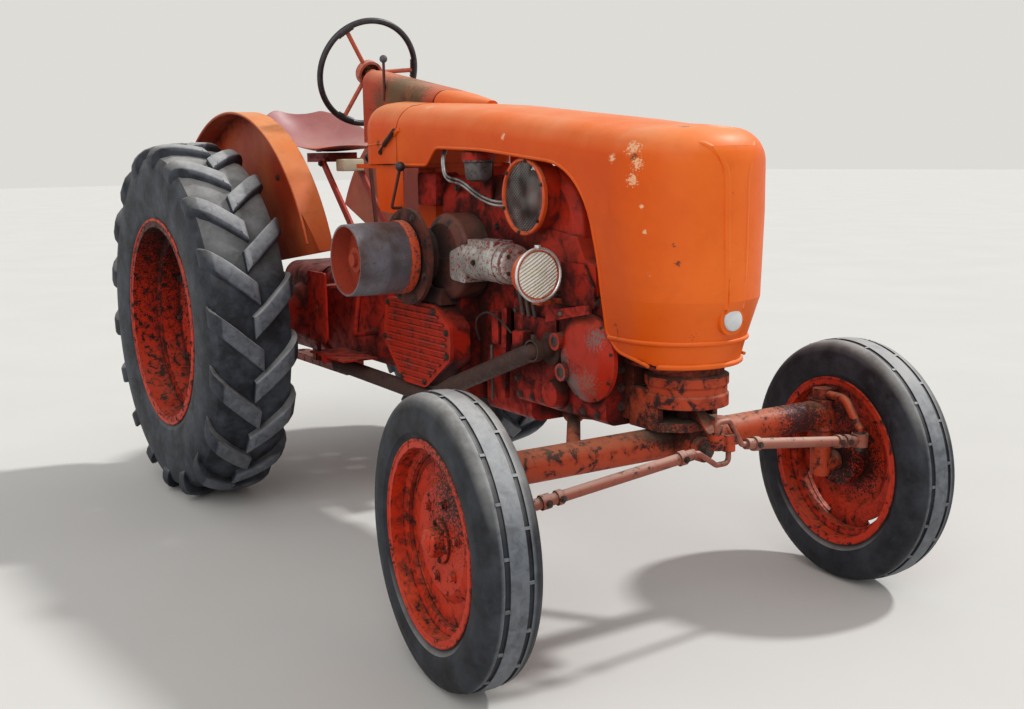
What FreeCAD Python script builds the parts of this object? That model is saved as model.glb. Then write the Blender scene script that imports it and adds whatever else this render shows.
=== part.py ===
import FreeCAD, Part
import math
import os
from FreeCAD import Vector

# An old farm tractor with an air-cooled engine under a forward-tilting hood.
# Millimetres. +X is forward, +Y is left, +Z is up. The origin lies on the ground, under the middle of the
# tractor. The front wheels stand turned a little to the right, as it is parked.

os.makedirs("parts", exist_ok=True)

# Running gear
WHEELBASE = 2045.0
REAR_AXLE_X = -872.0
REAR_TYRE_R = 656.0
REAR_TYRE_W = 300.0
LUG_COUNT = 18
LUG_H = 28.0
LUG_W = 50.0
LUG_SLANT = 45.0
LUG_OVERLAP = 14.0
REAR_SIDES = 36
FRONT_SIDES = 24
REAR_RIM_R = 378.0
REAR_BEAD_R = 356.0
REAR_RIM_W = 276.0
REAR_TRACK = 1184.0
REAR_DISC_Y = -70.0
FRONT_TYRE_R = 355.0
FRONT_TYRE_W = 148.0
SLOT_HALF = 70.0
FRONT_RIM_R = 243.0
FRONT_BEAD_R = 229.0
FRONT_RIM_W = 128.0
FRONT_TRACK = 1336.0
FRONT_DISC_Y = 12.0
RIM_GAUGE = 5.0
HALF_SHAFT_R = 30.0
HALF_SHAFT_IN = 30.0
SEATED = 0.3

# Front axle and steering
KINGPIN_Y = 560.0
KINGPIN_R = 17.0
BEAM_Z = 500.0
BEAM_R = 42.0
EYE_R = 31.0
EYE_H = 90.0
STEER_ARM = 155.0
BALL_Z = 460.0
SOCKET_Z = 540.0
NECK_DIP = 56.0
NECK_ARCH = 50.0
SOCKET_Y = 18.0
PARKED_STEER = -5.56
TIE_ROD_R = 14.0
RUNNING = 0.05
THRUST_GAP = 1.0

# Front column and engine
ENGINE_FRONT = 1085.0
ENGINE_REAR = 402.0
RADIUS_APEX = (701.0, 500.0)
AXLE_PIN_R = 20.0
COLUMN_X = 1228.0
COLUMN_R = 108.0
COLUMN_TOP = 716.0
YOKE_LOW = 548.0
WINDOW_LOW = 571.0
WINDOW_HIGH = 612.0

# Hood and tank
HOOD_SEAM_X = 73.0
SEAM_GAP = 6.0
HOOD_HALF_W = 215.0
SHOULDER_R = 85.0
CROWN_R = 800.0
SHEET = 2.5
DOME_X = 1191.0
DOME_LOW = 1100.0
HOOD_LOW = 720.0
HINGE_X = 1337.0
HINGE_Z = 728.0
HINGE_PIN_R = 5.0
TANK_LOW = 1225.0
TANK_REAR = -182.0

COWL_LOW = 1300.0

# Driver's place
WHEEL_CENTRE = Vector(-554.5, 0, 1554)
WHEEL_R = 201.5
WHEEL_RIM_R = 11.0
WHEEL_TILT = 19.2
GEAR_Z = 1100.0
TUBE_R = 17.0
FENDER_R = 765.0
FENDER_IN = 340.0
FENDER_OUT = 430.0
FENDER_SHEET = 3.0
FENDER_LOW = 880.0
SEAT_SHEET = 5.0

# Belt pulley and ribbed cover
PULLEY_X = 268.0
PULLEY_Z = 945.0
PULLEY_R = 110.0
PULLEY_FACE = (-500.0, -305.0)
FLANGE_R = 148.0
CASE_R = 132.0
FLANGE_Y = -296.0
COVER_OUTLINE = ((36.0, 800.0, 30), (4.0, 664.0, 60), (130.0, 534.0, 90), (290.0, 534.0, 60),
                 (448.0, 640.0, 30), (448.0, 742.0, 30), (356.0, 800.0, 30))
COVER_MIDDLE = (226.0, 676.0)
COVER_Y = -252.0
RIB_STEP = 21.0
RIB_W = 6.0
RIB_H = 5.0

# Starter
STARTER_R = 56.0
STARTER_YZ = (-210.0, 948.0)

# Gearbox and rear drive
GEARBOX_TOP = 860.0
REAR_TOP = 840.0
REAR_HOUSING_FRONT = -700.0
PTO_R = 17.45
PTO_Z = 600.0
DRAWBAR_Z = 395.0
DRAWBAR_HOLE_R = 15.0
HUB_GAP = 5.0

FRONT_AXLE_X = REAR_AXLE_X + WHEELBASE
REAR_Y = REAR_TRACK / 2
FRONT_Y = FRONT_TRACK / 2


def box(x, y, z):
    """A block between two values on each axis."""
    return Part.makeBox(x[1] - x[0], y[1] - y[0], z[1] - z[0], Vector(x[0], y[0], z[0]))


def rod(start, end, radius):
    """A round bar from one point to another."""
    start, end = Vector(*start), Vector(*end)
    return Part.makeCylinder(radius, (end - start).Length, start, end - start)


def tube(start, end, radius, bore):
    """A round tube from one point to another."""
    return rod(start, end, radius).cut(rod(start, end, bore))


def flat_wire(points):
    """A closed wire through points, each (u, v) or (u, v, corner radius), in the XY plane."""
    count = len(points)
    edges = []
    ends = []
    for i, point in enumerate(points):
        corner = Vector(point[0], point[1], 0)
        radius = point[2] if len(point) > 2 else 0
        if not radius:
            ends.append((corner, corner, None))
            continue
        back = Vector(points[i - 1][0], points[i - 1][1], 0) - corner
        ahead = Vector(points[(i + 1) % count][0], points[(i + 1) % count][1], 0) - corner
        back.normalize()
        ahead.normalize()
        half = back.getAngle(ahead) / 2
        reach = radius / math.tan(half)
        middle = (back + ahead).normalize() * (radius / math.sin(half) - radius)
        ends.append((corner + back * reach, corner + ahead * reach, corner + middle))
    for i in range(count):
        start, end, middle = ends[i]
        if middle is not None:
            edges.append(Part.Arc(start, middle, end).toShape())
        following = ends[(i + 1) % count][0]
        if (following - end).Length > 1e-6:
            edges.append(Part.makeLine(end, following))
    return Part.Wire(edges)


def side_plate(points, y0, y1):
    """A side view outline of (x, z) points, thick from y0 to y1."""
    face = Part.Face(flat_wire(points))
    face.rotate(Vector(0, 0, 0), Vector(1, 0, 0), 90)
    face.translate(Vector(0, y0, 0))
    return face.extrude(Vector(0, y1 - y0, 0))


def top_plate(points, z0, z1):
    """A plan outline of (x, y) points, thick from z0 to z1."""
    face = Part.Face(flat_wire(points))
    face.translate(Vector(0, 0, z0))
    return face.extrude(Vector(0, 0, z1 - z0))


def end_plate(points, x0, x1):
    """A front view outline of (y, z) points, thick from x0 to x1."""
    face = Part.Face(flat_wire(points))
    face.rotate(Vector(0, 0, 0), Vector(1, 1, 1), 120)
    face.translate(Vector(x0, 0, 0))
    return face.extrude(Vector(x1 - x0, 0, 0))


def turned(points, centre, axis):
    """A solid turned about an axis through centre, from (distance along, radius) points."""
    face = Part.Face(flat_wire(points))
    solid = face.revolve(Vector(0, 0, 0), Vector(1, 0, 0), 360)
    solid.Placement = FreeCAD.Placement(Vector(*centre), FreeCAD.Rotation(Vector(1, 0, 0), Vector(*axis)))
    return solid


def bent_rod(points, radius):
    """A round bar along straight runs joined by arcs. Points are (x, y, z) or (x, y, z, bend radius)."""
    corners = [Vector(*point[:3]) for point in points]
    edges = []
    last = corners[0]
    for i in range(1, len(points) - 1):
        bend = points[i][3]
        back = (corners[i - 1] - corners[i]).normalize()
        ahead = (corners[i + 1] - corners[i]).normalize()
        half = back.getAngle(ahead) / 2
        reach = bend / math.tan(half)
        middle = corners[i] + (back + ahead).normalize() * (bend / math.sin(half) - bend)
        start = corners[i] + back * reach
        end = corners[i] + ahead * reach
        if (start - last).Length > 1e-6:
            edges.append(Part.makeLine(last, start))
        edges.append(Part.Arc(start, middle, end).toShape())
        last = end
    edges.append(Part.makeLine(last, corners[-1]))
    path = Part.Wire(edges)
    ring = Part.Wire([Part.makeCircle(radius, corners[0], corners[1] - corners[0])])
    return path.makePipeShell([ring], True, False)


def mirrored(shape):
    """The same shape on the other side of the tractor."""
    return shape.mirror(Vector(0, 0, 0), Vector(0, 1, 0))


def fused(*shapes):
    """Shapes joined into one."""
    whole = shapes[0].fuse(list(shapes[1:]))
    return whole.removeSplitter()


def outward(shape):
    """The shape with its faces turned outward."""
    if shape.Volume < 0:
        shape.reverse()
    return shape


def both(shape):
    """A shape and its mirror image, joined."""
    return fused(shape, mirrored(shape))


def save(name, shape):
    shape.exportStep("parts/" + name + ".step")


# Wheels. Each is made about its own centre, facing right (outward is -Y), then put in place.

def faceted(profile, sides):
    """A ring of flat facets about Y from (y, radius to the facet) points, with one facet on the ground."""
    step = 2 * math.pi / sides
    grow = 1 / math.cos(step / 2)
    rings = []
    for k in range(sides):
        a = -math.pi / 2 + (k + 0.5) * step
        rings.append([Vector(r * grow * math.cos(a), y, r * grow * math.sin(a)) for y, r in profile])
    faces = []
    for k in range(sides):
        here, there = rings[k - 1], rings[k]
        for i in range(len(profile)):
            corners = [here[i - 1], here[i], there[i], there[i - 1]]
            faces.append(Part.Face(Part.makePolygon(corners + corners[:1])))
    return outward(Part.Solid(Part.Shell(faces)))


def both_sides(half_profile):
    """A tyre's closed profile from the (y, radius) points of its left half, bead to crown."""
    return [(-y, r) for y, r in half_profile] + half_profile[::-1]


def rear_tyre():
    """Carcass with two rows of slanting lugs, staggered, whose points aim down at the front."""
    half = REAR_TYRE_W / 2
    bead = REAR_RIM_W / 2 - RIM_GAUGE - SEATED
    base = REAR_TYRE_R - LUG_H
    wall = base - REAR_RIM_R
    carcass = faceted(both_sides([(bead, REAR_BEAD_R), (bead, REAR_RIM_R + 4),
                                  (half - 2, REAR_RIM_R + wall * 0.44),
                                  (half * 0.72, base)]), REAR_SIDES)
    crown = faceted(both_sides([(half, base - wall * 0.32), (half, base - wall * 0.1),
                                (half * 0.72, REAR_TYRE_R)]), REAR_SIDES)
    run = LUG_W / 2 / math.cos(math.radians(LUG_SLANT))
    rise = half * math.tan(math.radians(LUG_SLANT)) / 2
    bar = [(-half - 1, rise - run), (LUG_OVERLAP, -rise - run), (LUG_OVERLAP, -rise + run),
           (-half - 1, rise + run)]
    lug = end_plate(bar, base - wall * 0.24, REAR_TYRE_R + 10)
    step = 360.0 / LUG_COUNT
    lugs = []
    for i in range(LUG_COUNT):
        for shape, shift in ((lug, 0.0), (mirrored(lug), step / 2)):
            turn = shape.copy()
            turn.rotate(Vector(0, 0, 0), Vector(0, 1, 0), step * i + shift)
            lugs.append(turn.common(crown))
    return carcass.fuse(lugs).removeSplitter()


def rear_wheel():
    half = REAR_RIM_W / 2
    seat = REAR_BEAD_R - 0.3
    well = seat - 34
    gauge = RIM_GAUGE
    rim = turned([
        (-half, REAR_RIM_R), (-half, seat - gauge), (-45, seat - gauge), (-38, well - gauge),
        (38, well - gauge), (45, seat - gauge), (half, seat - gauge), (half, REAR_RIM_R),
        (half - gauge, REAR_RIM_R), (half - gauge, seat), (42 + gauge, seat), (35 + gauge, well),
        (-35 - gauge, well), (-42 - gauge, seat), (-half + gauge, seat), (-half + gauge, REAR_RIM_R),
    ], (0, 0, 0), (0, -1, 0))
    inner = REAR_DISC_Y
    disc = turned([
        (-40, well - gauge), (-34, well - gauge), (-34, 296), (inner + 10, 240), (inner + 10, 0),
        (inner, 0), (inner, 244), (-40, 300),
    ], (0, 0, 0), (0, -1, 0))
    hub = turned([
        (inner - 10, 0), (inner - 10, 95), (inner, 95), (inner + 10, 95), (inner + 10, 62),
        (inner + 52, 52, 6), (inner + 52, 0),
    ], (0, 0, 0), (0, -1, 0))
    holes = [rod((150 * math.cos(a), 200, 150 * math.sin(a)), (150 * math.cos(a), -50, 150 * math.sin(a)),
                 18)
             for a in (math.radians(60 * i + 30) for i in range(6))]
    wheel = fused(rim, disc, hub)
    shaft_room = rod((0, -inner + 20, 0), (0, -inner - HALF_SHAFT_IN - 1, 0), HALF_SHAFT_R + RUNNING)
    for hole in holes + [shaft_room]:
        wheel = wheel.cut(hole)
    return wheel


def front_tyre():
    half = FRONT_TYRE_W / 2
    bead = FRONT_RIM_W / 2 - RIM_GAUGE + 1
    wall = FRONT_TYRE_R - FRONT_RIM_R
    return faceted(both_sides([(bead, FRONT_BEAD_R), (bead, FRONT_RIM_R + wall * 0.03),
                               (half, FRONT_RIM_R + wall * 0.36), (half - 4, FRONT_RIM_R + wall * 0.68),
                               (half - 14, FRONT_RIM_R + wall * 0.91), (half * 0.62, FRONT_TYRE_R)]),
                   FRONT_SIDES)


def front_wheel():
    half = FRONT_RIM_W / 2
    seat = FRONT_BEAD_R - 0.3
    well = seat - 20
    gauge = RIM_GAUGE - 1
    rim = turned([
        (-half, FRONT_RIM_R), (-half, seat - gauge), (-30, seat - gauge), (-24, well - gauge),
        (24, well - gauge), (30, seat - gauge), (half, seat - gauge), (half, FRONT_RIM_R),
        (half - gauge, FRONT_RIM_R), (half - gauge, seat), (27 + gauge, seat), (21 + gauge, well),
        (-21 - gauge, well), (-27 - gauge, seat), (-half + gauge, seat), (-half + gauge, FRONT_RIM_R),
    ], (0, 0, 0), (0, -1, 0))
    face = FRONT_DISC_Y
    disc = turned([
        (face - 6, well - gauge), (face, well - gauge), (face, 150), (face + 14, 128), (face + 14, 60),
        (face + 8, 60), (face + 8, 124), (face - 6, 146),
    ], (0, 0, 0), (0, -1, 0))
    hub = turned([
        (-46, KINGPIN_R + 2 + RUNNING), (-46, 74), (-12, 74), (-12, 60), (face + 14, 60), (face + 14, 38),
        (face + 52, 34, 10), (face + 52, 0), (face + 30, 0), (face + 30, KINGPIN_R + 2 + RUNNING),
    ], (0, 0, 0), (0, -1, 0))
    wheel = fused(rim, disc, hub)
    slot = tube((0, 20, 0), (0, -20, 0), FRONT_BEAD_R - 26, FRONT_BEAD_R - 40)
    window = box((120, 300), (-30, 30), (-SLOT_HALF, SLOT_HALF))
    for i in range(4):
        gap = slot.common(window)
        gap.rotate(Vector(0, 0, 0), Vector(0, 1, 0), 90 * i + 45)
        wheel = wheel.cut(gap)
    return wheel


def place_rear(shape, side):
    """Put a rear wheel piece on its side, -1 right or 1 left."""
    if side > 0:
        shape = mirrored(shape)
    shape.translate(Vector(REAR_AXLE_X, side * REAR_Y, REAR_TYRE_R))
    return shape


def parked(shape, side):
    """Turn a front piece, made straight ahead, about its kingpin to where it is parked."""
    shape.rotate(Vector(FRONT_AXLE_X, side * KINGPIN_Y, 0), Vector(0, 0, 1), PARKED_STEER)
    return shape


def place_front(shape, side):
    """Put a front wheel piece on its side, -1 right or 1 left."""
    if side > 0:
        shape = mirrored(shape)
    shape.translate(Vector(FRONT_AXLE_X, side * FRONT_Y, FRONT_TYRE_R))
    return parked(shape, side)


SIDES = (("right", -1), ("left", 1))
for name, side in SIDES:
    save("rear_tyre_" + name, place_rear(rear_tyre(), side))
    save("rear_wheel_" + name, place_rear(rear_wheel(), side))
    save("front_tyre_" + name, place_front(front_tyre(), side))
    save("front_wheel_" + name, place_front(front_wheel(), side))


# Front axle: a round beam with an eye at each end, and two radius rods back to one ball under the engine.

def front_axle():
    x = FRONT_AXLE_X
    eye_low = BEAM_Z - EYE_H / 2
    beam = rod((x, -KINGPIN_Y, BEAM_Z), (x, KINGPIN_Y, BEAM_Z), BEAM_R)
    boss = rod((x - 34, 0, BEAM_Z), (x + 34, 0, BEAM_Z), 46)
    axle = fused(beam, boss)
    for _, side in SIDES:
        eye = rod((x, side * KINGPIN_Y, eye_low), (x, side * KINGPIN_Y, eye_low + EYE_H), EYE_R + 6)
        axle = axle.fuse(eye)
    for _, side in SIDES:
        axle = axle.cut(rod((x, side * KINGPIN_Y, 0), (x, side * KINGPIN_Y, 1000), KINGPIN_R + RUNNING))
    apex = (RADIUS_APEX[0] + 30, 0, RADIUS_APEX[1])
    for _, side in SIDES:
        strut = rod(apex, (x, side * 320, BEAM_Z), 19)
        axle = axle.fuse(strut)
    ball = Part.makeSphere(34, Vector(*apex))
    axle = axle.fuse(ball)
    axle = axle.cut(rod((x - 80, 0, BEAM_Z), (x + 80, 0, BEAM_Z), AXLE_PIN_R + RUNNING))
    return axle.removeSplitter()


save("front_axle", front_axle())


def knuckle(side):
    """Kingpin, spindle and steering arm, made straight ahead."""
    x = FRONT_AXLE_X
    y = side * KINGPIN_Y
    eye_low = BEAM_Z - EYE_H / 2
    eye_high = eye_low + EYE_H
    pin = rod((x, y, FRONT_TYRE_R), (x, y, eye_high + 26), KINGPIN_R)
    upright = rod((x, y, FRONT_TYRE_R - 34), (x, y, eye_low - THRUST_GAP), 30)
    spindle = rod((x, y, FRONT_TYRE_R), (x, side * (FRONT_Y + FRONT_DISC_Y + 22), FRONT_TYRE_R),
                  KINGPIN_R + 2)
    collar = rod((x, y, FRONT_TYRE_R), (x, side * (FRONT_Y - 56), FRONT_TYRE_R), 32)
    cap = rod((x, y, eye_high + THRUST_GAP), (x, y, eye_high + 30), 27)
    arm = bent_rod([(x, y, eye_high + 15), (x + 95, y, eye_high + 15, 40),
                    (x + STEER_ARM, y, BALL_Z + 22)], 12)
    ball = Part.makeSphere(15, Vector(x + STEER_ARM, y, BALL_Z))
    stud = rod((x + STEER_ARM, y, BALL_Z), (x + STEER_ARM, y, BALL_Z + 28), 10)
    return fused(pin, upright, spindle, collar, cap, arm, ball, stud)


for name, side in SIDES:
    save("knuckle_" + name, parked(knuckle(side), side))


# Steering lever under the front column, with two sockets side by side. Each tie rod reaches the far one.

def lever_point(ahead, left):
    """A point given from the lever's shaft, turned as it is parked."""
    a = math.radians(PARKED_STEER)
    return (COLUMN_X + ahead * math.cos(a) - left * math.sin(a), ahead * math.sin(a) + left * math.cos(a))


def steering_lever():
    x = COLUMN_X
    shaft = rod((x, 0, WINDOW_LOW + 5), (x, 0, COLUMN_TOP + 30), 15)
    boss = rod((x, 0, WINDOW_LOW + 5), (x, 0, WINDOW_HIGH - 5), 30)
    tip = x + STEER_ARM
    arm = side_plate([(x, WINDOW_LOW + 7), (tip - 74, WINDOW_LOW + 4, 20), (tip - 26, SOCKET_Z - 10, 20),
                      (tip + 8, SOCKET_Z - 10), (tip + 8, SOCKET_Z + 14), (tip - 44, SOCKET_Z + 14, 20),
                      (tip - 96, WINDOW_HIGH - 8, 20), (x, WINDOW_HIGH - 8)], -14, 14)
    lever = fused(shaft, boss, arm)
    for side, low, high in ((-1, -18, 22), (1, -25, 16)):
        y = side * SOCKET_Y
        lever = lever.fuse(rod((tip, y, SOCKET_Z + low), (tip, y, SOCKET_Z + high), 17))
    for side, low, high in ((-1, 0, 60), (1, -60, 0)):
        y = side * SOCKET_Y
        lever = lever.cut(rod((tip, y, SOCKET_Z + low), (tip, y, SOCKET_Z + high), 12))
    lever.rotate(Vector(x, 0, 0), Vector(0, 0, 1), PARKED_STEER)
    return lever.removeSplitter()


save("steering_lever", steering_lever())


def tie_rod(side):
    """From the ball on the steering arm to the far socket: left rod over the top, right rod below."""
    a = math.radians(PARKED_STEER)
    outer = (FRONT_AXLE_X + STEER_ARM * math.cos(a), side * KINGPIN_Y + STEER_ARM * math.sin(a), BALL_Z)
    inner_x, inner_y = lever_point(STEER_ARM, -side * SOCKET_Y)
    eye = rod((outer[0], outer[1], BALL_Z - 24), (outer[0], outer[1], BALL_Z + 13), 23)
    eye = eye.cut(Part.makeSphere(15.5, Vector(*outer)))
    eye = eye.cut(rod((outer[0], outer[1], BALL_Z), (outer[0], outer[1], BALL_Z + 20), 14))
    if side < 0:
        end_z, dip = SOCKET_Z - 6, SOCKET_Z - NECK_DIP
    else:
        end_z, dip = SOCKET_Z + 6, SOCKET_Z + NECK_ARCH
    neck_y = inner_y + side * 105
    neck_x = inner_x - 8
    bar = rod((outer[0], outer[1] - side * 18, BALL_Z - 6), (neck_x, neck_y, SOCKET_Z - 20), TIE_ROD_R)
    neck = bent_rod([(neck_x, neck_y + side * 12, SOCKET_Z - 20),
                     (neck_x, neck_y - side * 14, SOCKET_Z - 20, 10),
                     (inner_x, inner_y + side * 40, dip, 14), (inner_x, inner_y, dip, 14),
                     (inner_x, inner_y, end_z)], 7)
    return fused(eye, bar, neck)


for name, side in SIDES:
    save("tie_rod_" + name, tie_rod(side))


# Front column: the casting that carries the axle pin, the steering shaft and the hood's foot.

def front_column():
    x = COLUMN_X
    rear = x - COLUMN_R
    body = turned([(WINDOW_HIGH, 0), (WINDOW_HIGH, COLUMN_R), (640, COLUMN_R), (646, COLUMN_R - 4),
                   (662, COLUMN_R - 4), (668, COLUMN_R), (690, COLUMN_R), (694, COLUMN_R - 12),
                   (COLUMN_TOP, COLUMN_R - 12), (COLUMN_TOP, 0)], (x, 0, 0), (0, 0, 1))
    cheek = side_plate([(rear, WINDOW_HIGH + 40), (rear, YOKE_LOW, 8), (x + 8, YOKE_LOW, 8),
                        (x + 8, WINDOW_HIGH + 40)], -COLUMN_R + 8, -COLUMN_R + 24)
    rear_wall = box((rear, rear + 16), (-COLUMN_R + 8, COLUMN_R - 8), (YOKE_LOW, WINDOW_HIGH + 40))
    slab = top_plate([(rear, -COLUMN_R + 8), (x + 8, -COLUMN_R + 8, 10), (x + 62, -42, 30),
                      (x + 62, 42, 30),
                      (x + 8, COLUMN_R - 8, 10), (rear, COLUMN_R - 8)], YOKE_LOW, WINDOW_LOW)
    nose_x = FRONT_AXLE_X + BEAM_R + 0.5
    tail_x = FRONT_AXLE_X - BEAM_R - 0.5
    nose = rod((nose_x, 0, BEAM_Z), (x + 74, 0, BEAM_Z), 32)
    nose = nose.fuse(box((nose_x, x + 52), (-32, 32), (BEAM_Z, YOKE_LOW)))
    tail = rod((rear, 0, BEAM_Z), (tail_x, 0, BEAM_Z), 32)
    tail = tail.fuse(box((rear, tail_x), (-32, 32), (BEAM_Z, YOKE_LOW)))
    pin = rod((rear, 0, BEAM_Z), (x + 60, 0, BEAM_Z), AXLE_PIN_R)
    mount = box((ENGINE_FRONT, rear + 12), (-95, 95), (560, COLUMN_TOP - 10))
    rest = top_plate([(ENGINE_FRONT + 6, -110, 30), (HINGE_X - 40, -128, 40), (HINGE_X - 30, -60, 40),
                      (HINGE_X - 30, 60, 40), (HINGE_X - 40, 128, 40), (ENGINE_FRONT + 6, 110, 30)],
                     HOOD_LOW - 9, HOOD_LOW - 0.3)
    lug = side_plate([(HINGE_X - 40, HOOD_LOW - 9), (HINGE_X - 20, HOOD_LOW - 9), (HINGE_X, HINGE_Z - 6),
                      (HINGE_X, HINGE_Z), (HINGE_X - 40, HINGE_Z)], -22, 22)
    lug = lug.fuse(rod((HINGE_X, -22, HINGE_Z), (HINGE_X, 22, HINGE_Z), HINGE_PIN_R + 2))
    hinge_pin = rod((HINGE_X, -38, HINGE_Z), (HINGE_X, 38, HINGE_Z), HINGE_PIN_R)
    whole = fused(body, both(cheek), rear_wall, slab, nose, tail, pin, mount, rest, lug, hinge_pin)
    return whole.cut(rod((x, 0, WINDOW_LOW), (x, 0, COLUMN_TOP + 60), 15 + RUNNING))


save("front_column", front_column())


# Steering gear in the nose: gear case, upright tube, and the long tube back to the column cover.

def steering_line(x):
    """Height of the long steering tube at x."""
    slope = (WHEEL_CENTRE.z - GEAR_Z) / (COLUMN_X - WHEEL_CENTRE.x)
    return WHEEL_CENTRE.z - slope * (x - WHEEL_CENTRE.x)


def steering_gear():
    x = COLUMN_X
    case = turned([(GEAR_Z - 62, 0), (GEAR_Z - 62, 44), (GEAR_Z - 40, 62, 10), (GEAR_Z + 44, 62, 14),
                   (GEAR_Z + 56, 40), (GEAR_Z + 56, 0)], (x, 0, 0), (0, 0, 1))
    upright = rod((x, 0, COLUMN_TOP + 34), (x, 0, GEAR_Z - 50), 30)
    foot = tube((x, 0, HOOD_LOW - 0.3), (x, 0, COLUMN_TOP + 40), 60, 18)
    rear = HOOD_SEAM_X - 2
    line = rod((rear, 0, steering_line(rear)), (x - 30, 0, steering_line(x - 30)), TUBE_R)
    return fused(case, upright, foot, line)


save("steering_gear", steering_gear())


# Hood, tank and column cover. All three follow one section: straight sides, round shoulders, a low crown.

def section(x, top, half_width, low):
    """The closed cross-section at x."""
    chord = (half_width - SHOULDER_R) / (1 - SHOULDER_R / CROWN_R)
    angle = math.asin(chord / CROWN_R)
    rise = CROWN_R - math.sqrt(CROWN_R ** 2 - chord ** 2)
    centre_y = half_width - SHOULDER_R
    centre_z = top - rise - SHOULDER_R * math.cos(angle)
    middle = (math.pi / 2 - angle) / 2
    tip = (centre_y + SHOULDER_R * math.sin(angle), centre_z + SHOULDER_R * math.cos(angle))
    mid = (centre_y + SHOULDER_R * math.cos(middle), centre_z + SHOULDER_R * math.sin(middle))
    left = [Vector(x, half_width, low), Vector(x, half_width, centre_z), Vector(x, mid[0], mid[1]),
            Vector(x, tip[0], tip[1])]
    right = [Vector(v.x, -v.y, v.z) for v in left]
    return Part.Wire([
        Part.makeLine(right[0], left[0]), Part.makeLine(left[0], left[1]),
        Part.Arc(left[1], left[2], left[3]).toShape(),
        Part.Arc(left[3], Vector(x, 0, top), right[3]).toShape(),
        Part.Arc(right[3], right[2], right[1]).toShape(), Part.makeLine(right[1], right[0]),
    ])


def nose_section(z, centre, radius, rear):
    """The plan of the nose at z: straight sides and a half circle ahead."""
    return Part.Wire([
        Part.makeLine(Vector(rear, radius, z), Vector(rear, -radius, z)),
        Part.makeLine(Vector(rear, -radius, z), Vector(centre, -radius, z)),
        Part.Arc(Vector(centre, -radius, z), Vector(centre + radius, 0, z),
                 Vector(centre, radius, z)).toShape(),
        Part.makeLine(Vector(centre, radius, z), Vector(rear, radius, z)),
    ])


# Top line of the hood and tank, from the rear: x, z
TOP_LINE = ((-182.0, 1439.0), (67.0, 1422.5), (73.0, 1422.0), (464.0, 1395.0), (1036.0, 1338.0),
            (1191.0, 1319.0))
# Plan of the nose below the dome: z, centre of the half circle, its radius
NOSE_PLAN = ((1100.0, 1191.0, 215.0), (890.0, 1216.0, 190.0), (785.0, 1198.0, 170.0),
             (720.0, 1188.0, 160.0))


def top_at(x):
    """Height of the top line at x."""
    for (x0, z0), (x1, z1) in zip(TOP_LINE, TOP_LINE[1:]):
        if x <= x1:
            return z0 + (z1 - z0) * (x - x0) / (x1 - x0)
    return TOP_LINE[-1][1]


def hood_form(inset, spill):
    """The hood as a closed form, its faces set in by inset and its open ends run on by spill."""
    half = HOOD_HALF_W - inset
    stations = [HOOD_SEAM_X - spill] + [x for x, _ in TOP_LINE[3:]]
    upper = Part.makeLoft([section(x, top_at(x) - inset, half, DOME_LOW) for x in stations], True, True)
    wire = section(DOME_X, top_at(DOME_X) - inset, half, DOME_LOW)
    keep = box((DOME_X - 1, DOME_X + 1), (0, 2 * half), (0, 2000))
    face = Part.Face(wire).common(keep).Faces[0]
    dome = face.revolve(Vector(DOME_X, 0, 0), Vector(0, 0, 1), -180)
    form = outward(upper).fuse(outward(dome))
    plan = list(NOSE_PLAN)
    if spill:
        z, centre, radius = plan[-1]
        plan.append((z - spill, centre, radius))
    for (z0, c0, r0), (z1, c1, r1) in zip(plan, plan[1:]):
        rear = DOME_X - 90
        lower = Part.makeLoft([nose_section(z0, c0, r0 - inset, rear),
                               nose_section(z1, c1, r1 - inset, rear)],
                              True, True)
        form = form.fuse(outward(lower))
    return outward(form.removeSplitter())


def side_opening():
    """What is cut from the hood's sides: x, z and corner radius."""
    return side_plate([(-300, 400), (-300, 1221), (262, 1221, 24), (322, 1273, 46), (590, 1264, 2000),
                       (1085, 1215, 215), (1122, 973, 600), (1118, 797, 30), (1150, 752, 60), (1276, 728),
                       (1276, 400)], -400, 400)


def hump(x0, x1, inset):
    """The raised cover over the steering tube, from x0 to x1. Columns: x, half width, top."""
    table = ((-470.0, 66.0, 1557.0), (46.0, 82.0, 1463.0), (180.0, 62.0, 1441.0), (310.0, 20.0, 1415.0))
    wires = []
    rows = [row for row in table if x0 < row[0] < x1]
    for end in (x0, x1):
        for (xa, wa, za), (xb, wb, zb) in zip(table, table[1:]):
            if xa <= end <= xb:
                t = (end - xa) / (xb - xa)
                rows.append((end, wa + (wb - wa) * t, za + (zb - za) * t))
                break
    for x, half, top in sorted(rows):
        half -= inset
        top -= inset
        low = top - 130
        knee = min(half * 0.75, 50)
        a = knee * math.cos(math.radians(45))
        wires.append(Part.Wire([
            Part.makeLine(Vector(x, -half, low), Vector(x, half, low)),
            Part.makeLine(Vector(x, half, low), Vector(x, half, top - knee)),
            Part.Arc(Vector(x, half, top - knee), Vector(x, half - knee + a, top - knee + a),
                     Vector(x, half - knee, top)).toShape(),
            Part.makeLine(Vector(x, half - knee, top), Vector(x, -half + knee, top)),
            Part.Arc(Vector(x, -half + knee, top), Vector(x, -half + knee - a, top - knee + a),
                     Vector(x, -half, top - knee)).toShape(),
            Part.makeLine(Vector(x, -half, top - knee), Vector(x, -half, low)),
        ]))
    return outward(Part.makeLoft(wires, True, True))


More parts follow.
